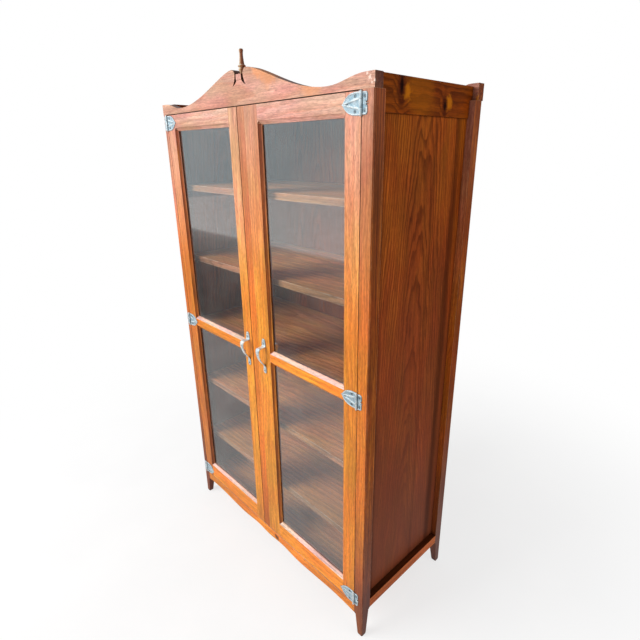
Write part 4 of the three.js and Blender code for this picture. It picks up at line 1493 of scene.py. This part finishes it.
    def screws(self, places: tuple[Pair, ...], towards: int, first: float,
               step: float) -> list[np.ndarray]:
        """The screw heads of one leaf, with their slots turned by an even step.

        Args:
            places: Their middles, from the barrel's middle.
            towards: The side of the barrel on which the leaf lies.
            first: The first slot's turn.
            step: How much further each next slot is turned.

        Returns:
            Each head's rings in the part's frame.
        """
        return [
            self.to_case(screw_head(x, z, self.screw_out, self.screw_radius,
                                    first + step * number), towards)
            for number, (x, z) in enumerate(places)
        ]

    def build(self, nickel: Material, steel: Material) -> None:
        """Builds both leaves, the barrel and the screws.

        Args:
            nickel: The plated finish.
            steel: The screws' finish.
        """
        name = f"{self.side.word}_hinge_{self.place}"
        post, door = self.side.value, -self.side.value
        high = self.centre_half + self.knuckle_gap
        post_skins = [
            self.to_case(self.post_grid(), post),
            self.knuckle(high, self.barrel_half),
            self.knuckle(-self.barrel_half, -high),
            self.pin_head(1),
            self.pin_head(-1),
        ]
        mount(f"{name}_lobed_leaf", post_skins, Body.CARCASE, f"{name}_post_leaf", nickel)
        door_skins = [
            self.to_case(self.door_grid(), door),
            self.knuckle(-self.centre_half, self.centre_half),
        ]
        mount(f"{name}_arched_leaf", door_skins, self.side.door, f"{name}_door_leaf", nickel)
        heads = self.screws(self.door_screws, door, 0.5, 1.7)
        mount(f"{name}_door_screws", heads, self.side.door, None, steel)
        heads = self.screws(self.post_screws, post, 1.1, 2.3)
        mount(f"{name}_post_screws", heads, Body.CARCASE, None, steel)


@dataclass
class Pull:
    """A cast strap pull on a door's meeting stile.

    Attributes:
        side: The side on which its door hangs.
        length: Its whole height.
        reach: How far it stands out.
        centre_z: The height of its middle.
        foot_half: Half of a foot's width.
        foot_thickness: The strap's thickness at the feet.
        bow_thickness: Its thickness on the bow.
        screw_radius: The radius of its screws' heads.
        screws: Each screw's height from the middle, and its slot's turn.
        widths: Its width against the share of its run, with a full foot as 1.
    """

    side: Side
    length: float = 0.123
    reach: float = 0.030
    centre_z: float = 0.8485
    foot_half: float = 0.009
    foot_thickness: float = 0.0024
    bow_thickness: float = 0.005
    screw_radius: float = 0.0032
    screws: tuple[Pair, ...] = ((-0.0515, 0.4), (0.0445, 1.2))
    widths: tuple[Pair, ...] = (
        (0, 0.3), (0.012, 0.6), (0.04, 0.84), (0.09, 0.92), (0.14, 0.78), (0.19, 0.52),
        (0.3, 0.6), (0.45, 0.78), (0.6, 0.98), (0.66, 1.02), (0.76, 0.92), (0.805, 0.96),
        (0.84, 1.08), (0.88, 1.08), (0.93, 1.0), (0.965, 0.8), (0.99, 0.56), (1, 0.25),
    )

    def line(self) -> np.ndarray:
        """The middle of the strap: height against how far it stands out.

        It runs from the lower foot up a long curve to its furthest point, and then
        steps straight back to the upper foot.

        Returns:
            The points, one a row.
        """
        foot = self.foot_thickness / 2
        out = self.reach - self.bow_thickness / 2
        return smooth_line(np.array([
            (-1, foot), (-0.9, foot), (-0.8, foot), (-0.64, foot * 1.1), (-0.54, out * 0.13),
            (-0.43, out * 0.29), (-0.27, out * 0.55), (-0.1, out * 0.78), (0.1, out * 0.94),
            (0.29, out), (0.42, out * 0.99), (0.51, out * 0.86), (0.535, out * 0.55),
            (0.55, out * 0.22), (0.6, foot * 1.3), (0.7, foot), (0.84, foot), (1, foot),
        ]), 170) * np.array([self.length / 2, 1.0])

    def half_width(self, share: np.ndarray) -> np.ndarray:
        """Half of the strap's width, from its table smoothed by a bell-shaped mean.

        Args:
            share: Shares of the strap's run.

        Returns:
            The half widths as a column.
        """
        table = np.array(self.widths)
        spread = np.linspace(0, 1, 301)
        wide = np.interp(spread, table[:, 0], table[:, 1])
        kernel = np.hanning(9) / np.hanning(9).sum()
        wide[4:-4] = np.convolve(wide, kernel, "valid")
        return np.interp(share, spread, wide)[:, None] * self.foot_half

    def grid(self, centre_x: float) -> np.ndarray:
        """The strap: a rounded section carried along its line.

        The section is a superellipse, flat at the feet and rounder on the bow: each
        half width times the sign and a power of the angle's cosine or sine.

        Args:
            centre_x: The middle of the stile.

        Returns:
            The rings in the part's frame.
        """
        line = self.line()
        step = np.gradient(line, axis=0)
        step /= np.linalg.norm(step, axis=1, keepdims=True)
        share = np.concatenate([[0], np.cumsum(np.linalg.norm(np.diff(line, axis=0), axis=1))])
        share /= share[-1]
        rise = ease(line[:, 1] - self.foot_thickness, 0.011)[:, None]
        rise = rise**2 * (3 - 2 * rise)
        thick = (self.foot_thickness + (self.bow_thickness - self.foot_thickness) * rise) / 2
        thick *= np.clip(np.minimum(share, 1 - share)[:, None] / 0.01, 0.35, 1)
        angle = np.linspace(0, 2 * np.pi, 28, endpoint=False)
        power = 0.55 + 0.4 * rise
        wide = self.half_width(share)
        side = np.sign(np.cos(angle)) * np.abs(np.cos(angle)) ** power * wide
        deep = np.sign(np.sin(angle)) * np.abs(np.sin(angle)) ** power * thick
        return np.stack([
            centre_x + side,
            FRONT_Y - (line[:, 1:] + step[:, :1] * deep),
            self.centre_z + line[:, :1] - step[:, 1:] * deep,
        ], axis=-1)

    def build(self, nickel: Material, steel: Material) -> None:
        """Builds the strap and the screw through each foot.

        Args:
            nickel: The plated finish.
            steel: The screws' finish.
        """
        door = self.side.door
        node = f"{door.value}_pull"
        low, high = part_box(node)
        centre_x = (low.x + high.x) / 2
        mount(f"{node}_strap", [self.grid(centre_x)], door, node, nickel)
        place = np.array([centre_x, FRONT_Y, self.centre_z])
        heads = [
            screw_head(0.0, height, self.foot_thickness, self.screw_radius, turn) + place
            for height, turn in self.screws
        ]
        mount(f"{node}_screws", heads, door, None, steel)


@dataclass
class Metalwork:
    """The six hinges and the two pulls."""

    nodes: dict[str, Thing]
    places: tuple[str, ...] = ("bottom", "middle", "top")

    def build(self) -> None:
        """Builds each hinge and pull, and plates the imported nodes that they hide."""
        nickel, steel = NICKEL.material(), SCREW_STEEL.material()
        for name, node in self.nodes.items():
            if name.endswith(("_leaf", "_pull")):
                cover(node, nickel)
        for side in Side:
            for place in self.places:
                Hinge(side, place).build(nickel, steel)
            Pull(side).build(nickel, steel)


@dataclass
class Glazing:
    """The four panes."""

    nodes: dict[str, Thing]
    places: tuple[str, ...] = ("lower", "upper")

    def build(self) -> None:
        """Gives each pane the glass."""
        glass = GLASS.material()
        for side in Side:
            for place in self.places:
                cover(self.nodes[f"{side.door.value}_{place}_glass"], glass)
        LOG.info("panes: %s", GLASS.name)


@dataclass(frozen=True)
class Lamp:
    """A square soft lamp: its name, place, length of side and power in watts."""

    name: str
    place: Place
    size: float
    power: float


@dataclass
class Studio:
    """The floor, the lamps, the backdrop and the camera of the photograph's view.

    Attributes:
        eye: Where the camera stands.
        right: The picture's right in the part's frame.
        down: The picture's down.
        ahead: The direction in which the camera looks.
        focal: The focal length in the picture's pixels.
        centre: The lens's middle in the picture's pixels.
        picture: The picture's side in pixels.
        sensor: The sensor's width in millimetres.
        target: What the lamps point at.
        lamps: The lamps.
        world_level: The strength of the world's light on the object.
        sky_mirrored: The backdrop's colour where metal, glass and varnish mirror it.
        floor_reach: Half of the floor's side.
        floor_run: The floor's length ahead over which its mirrored tone changes.
        floor_tones: That tone against the share of the run.
        white_ring: The distances between which the floor turns white.
    """

    eye: Place = (1.1656, -0.7912 + FRONT_Y, 1.4754)
    right: Place = (0.69107521, 0.72272879, -0.00884023)
    down: Place = (0.23838387, -0.23945566, -0.94118761)
    ahead: Place = (-0.68234023, 0.64832405, -0.33776876)
    focal: float = 458.26
    centre: Pair = (326.77, 315.74)
    picture: int = 640
    sensor: float = 36.0
    target: Place = (0.0, 0.0, 0.95)
    lamps: tuple[Lamp, ...] = (
        Lamp("key", (-2.3, -4.1, 3.1), 3.4, 308.0),
        Lamp("side", (3.2, 0.7, 3.0), 2.2, 34.0),
    )
    world_level: float = 0.5
    sky_mirrored: Colour = (0.84, 0.95, 1.0)
    floor_reach: float = 14.0
    floor_run: float = -12.0
    floor_tones: tuple[Pair, ...] = (
        (0.0, 0.46), (0.1, 0.48), (0.122, 0.1), (0.2, 0.18), (0.322, 0.5), (0.338, 1.0),
        (0.725, 1.0), (0.775, 0.8), (1.0, 0.8),
    )
    white_ring: Pair = (0.6, 2.2)

    def place_camera(self) -> None:
        """Makes the camera, with its focal length and centre given in the picture's pixels."""
        camera = bpy.data.cameras.new("camera")
        camera.sensor_width = self.sensor
        camera.lens = self.focal / self.picture * camera.sensor_width
        camera.shift_x = (self.picture / 2 - self.centre[0]) / self.picture
        camera.shift_y = (self.centre[1] - self.picture / 2) / self.picture
        thing = bpy.data.objects.new("camera", camera)
        axes = np.array([self.right, np.negative(self.down), np.negative(self.ahead)]).T
        turn = Matrix(axes.tolist()).to_4x4()
        thing.matrix_world = Matrix.Translation(self.eye) @ turn
        bpy.context.scene.collection.objects.link(thing)
        bpy.context.scene.camera = thing

    def place_lamp(self, lamp: Lamp) -> None:
        """Adds one lamp, pointed at the cabinet's middle and left out of mirrors.

        Args:
            lamp: The lamp.
        """
        light = bpy.data.lights.new(lamp.name, "AREA")
        light.size = lamp.size
        light.energy = lamp.power
        thing = bpy.data.objects.new(lamp.name, light)
        way = Vector(self.target) - Vector(lamp.place)
        thing.rotation_euler = way.to_track_quat("-Z", "Y").to_euler()
        thing.location = lamp.place
        thing.visible_glossy = False
        thing.visible_transmission = False
        bpy.context.scene.collection.objects.link(thing)

    def seen(self, g: Graph) -> Socket:
        """Whether the picture shows the backdrop by this ray.

        Args:
            g: The material or world that asks.

        Returns:
            A socket that is 1 for camera, glossy and transmission rays that no dull
            surface has turned into light on the object.
        """
        path = g.add("LightPath").outputs
        either = g.math("MAXIMUM", path["Is Camera Ray"], path["Is Glossy Ray"])
        either = g.math("MAXIMUM", either, path["Is Transmission Ray"])
        straight = g.math("LESS_THAN", path["Diffuse Depth"], 0.5)
        return g.product(either, straight)

    def mirrored(self, g: Graph) -> Socket:
        """Whether this ray has met a mirroring surface, in glass too: 1 or 0."""
        return g.math("GREATER_THAN", g.add("LightPath").outputs["Glossy Depth"], 0.5)

    def make_world(self) -> None:
        """A plain world: white where it is seen, greyer to the right where metal, glass
        and varnish mirror it, and dimmer still as light."""
        world = bpy.data.worlds.new("studio")
        bpy.context.scene.world = world
        g = Graph(world)
        x, y, z = g.parts(g.add("TexCoord").outputs["Generated"])
        mirrored = self.mirrored(g)
        far_side = g.math("MAXIMUM", g.band(x, 0.3, 0.95, 0.0, 0.4),
                          g.band(y, 0.1, 0.5, 0.0, 0.88))
        low = g.band(z, 0.0, 0.25, 0.2, 0.0)
        dark = g.product(mirrored, g.math("MAXIMUM", far_side, low))
        pale = g.math("SUBTRACT", 1.0, dark)
        shade = g.product(g.band(x, -0.1, 0.7, 1.0, 0.62), g.band(z, -0.5, 0.5, 0.7, 1.0))
        seen = self.seen(g)
        light = g.product(g.math("SUBTRACT", 1.0, seen), shade, self.world_level)
        level = g.math("MULTIPLY_ADD", seen, pale, light)
        sky = g.mix(mirrored, WHITE, self.sky_mirrored)
        back = g.add("Background", {"Color": sky, "Strength": level})
        g.add("OutputWorld", {"Surface": back.outputs[0]})

    def floor_level(self, g: Graph, place: Socket, mirrored: Socket) -> Socket:
        """The floor's strength: 1 to the eye, and toned and cloudy where it is mirrored.

        Args:
            g: The floor's graph.
            place: The place on the floor.
            mirrored: Whether the ray has met a mirroring surface.

        Returns:
            The strength's socket.
        """
        x, y, _ = g.parts(place)
        ahead = g.ramp(g.math("DIVIDE", y, self.floor_run), *self.floor_tones)
        dark_side = g.product(g.band(x, 0.5, 1.1), g.band(y, -0.9, -0.1, 0.4, 0.92))
        cloudy = g.band(g.noise(place, 2.6, 3.0), 0.35, 0.65, 1.0, 0.9)
        dimmed = g.product(ahead, cloudy, g.math("SUBTRACT", 1.0, dark_side))
        return g.add("Mix", {0: mirrored, 2: 1.0, 3: dimmed}).outputs[0]

    def make_floor(self) -> None:
        """A wide pale floor that keeps the cabinet's shadow and turns white further out."""
        reach = np.linspace(-self.floor_reach, self.floor_reach, 3)
        x, y = np.meshgrid(reach, reach, indexing="xy")
        points = np.stack([x, y, np.zeros_like(x)], axis=-1).reshape(-1, 3)
        corner = np.array([0, 1, 3, 4])[:, None]
        floor = make_mesh("floor", points, (corner + np.array([0, 1, 4, 3])).tolist())
        g = Graph.named("pale_floor")
        place = g.add("TexCoord").outputs["Object"]
        mottle = g.band(g.noise(place, 3.0, 3.0), 0.3, 0.7, 0.84, 0.9)
        plain = g.add("BsdfDiffuse", {"Color": g.grey(mottle)})
        mirrored = self.mirrored(g)
        level = self.floor_level(g, place, mirrored)
        glow = g.add("Emission", {"Color": WHITE, "Strength": level})
        distance = g.vector("LENGTH", place, output="Value")
        white = g.math("MAXIMUM", mirrored, g.band(distance, *self.white_ring, 0.7, 1.0))
        share = g.product(self.seen(g), white)
        cover(floor, g.finish(g.blended(share, plain, glow)))

    def build(self) -> None:
        """Builds the whole studio."""
        self.place_camera()
        self.make_world()
        self.make_floor()
        for lamp in self.lamps:
            self.place_lamp(lamp)
        bpy.context.scene.view_settings.view_transform = "Standard"
        LOG.info("studio: camera, world, floor and lamps")


def main() -> None:
    """Loads the frame, builds the studio and dresses the cabinet piece by piece."""
    logging.basicConfig(level=logging.INFO, format="%(name)s: %(message)s")
    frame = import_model()
    nodes = frame["nodes"]
    Studio().build()
    Woodwork(nodes).build()
    Glazing(nodes).build()
    Metalwork(nodes).build()
    Finial().build()


if __name__ == "__main__":
    main()
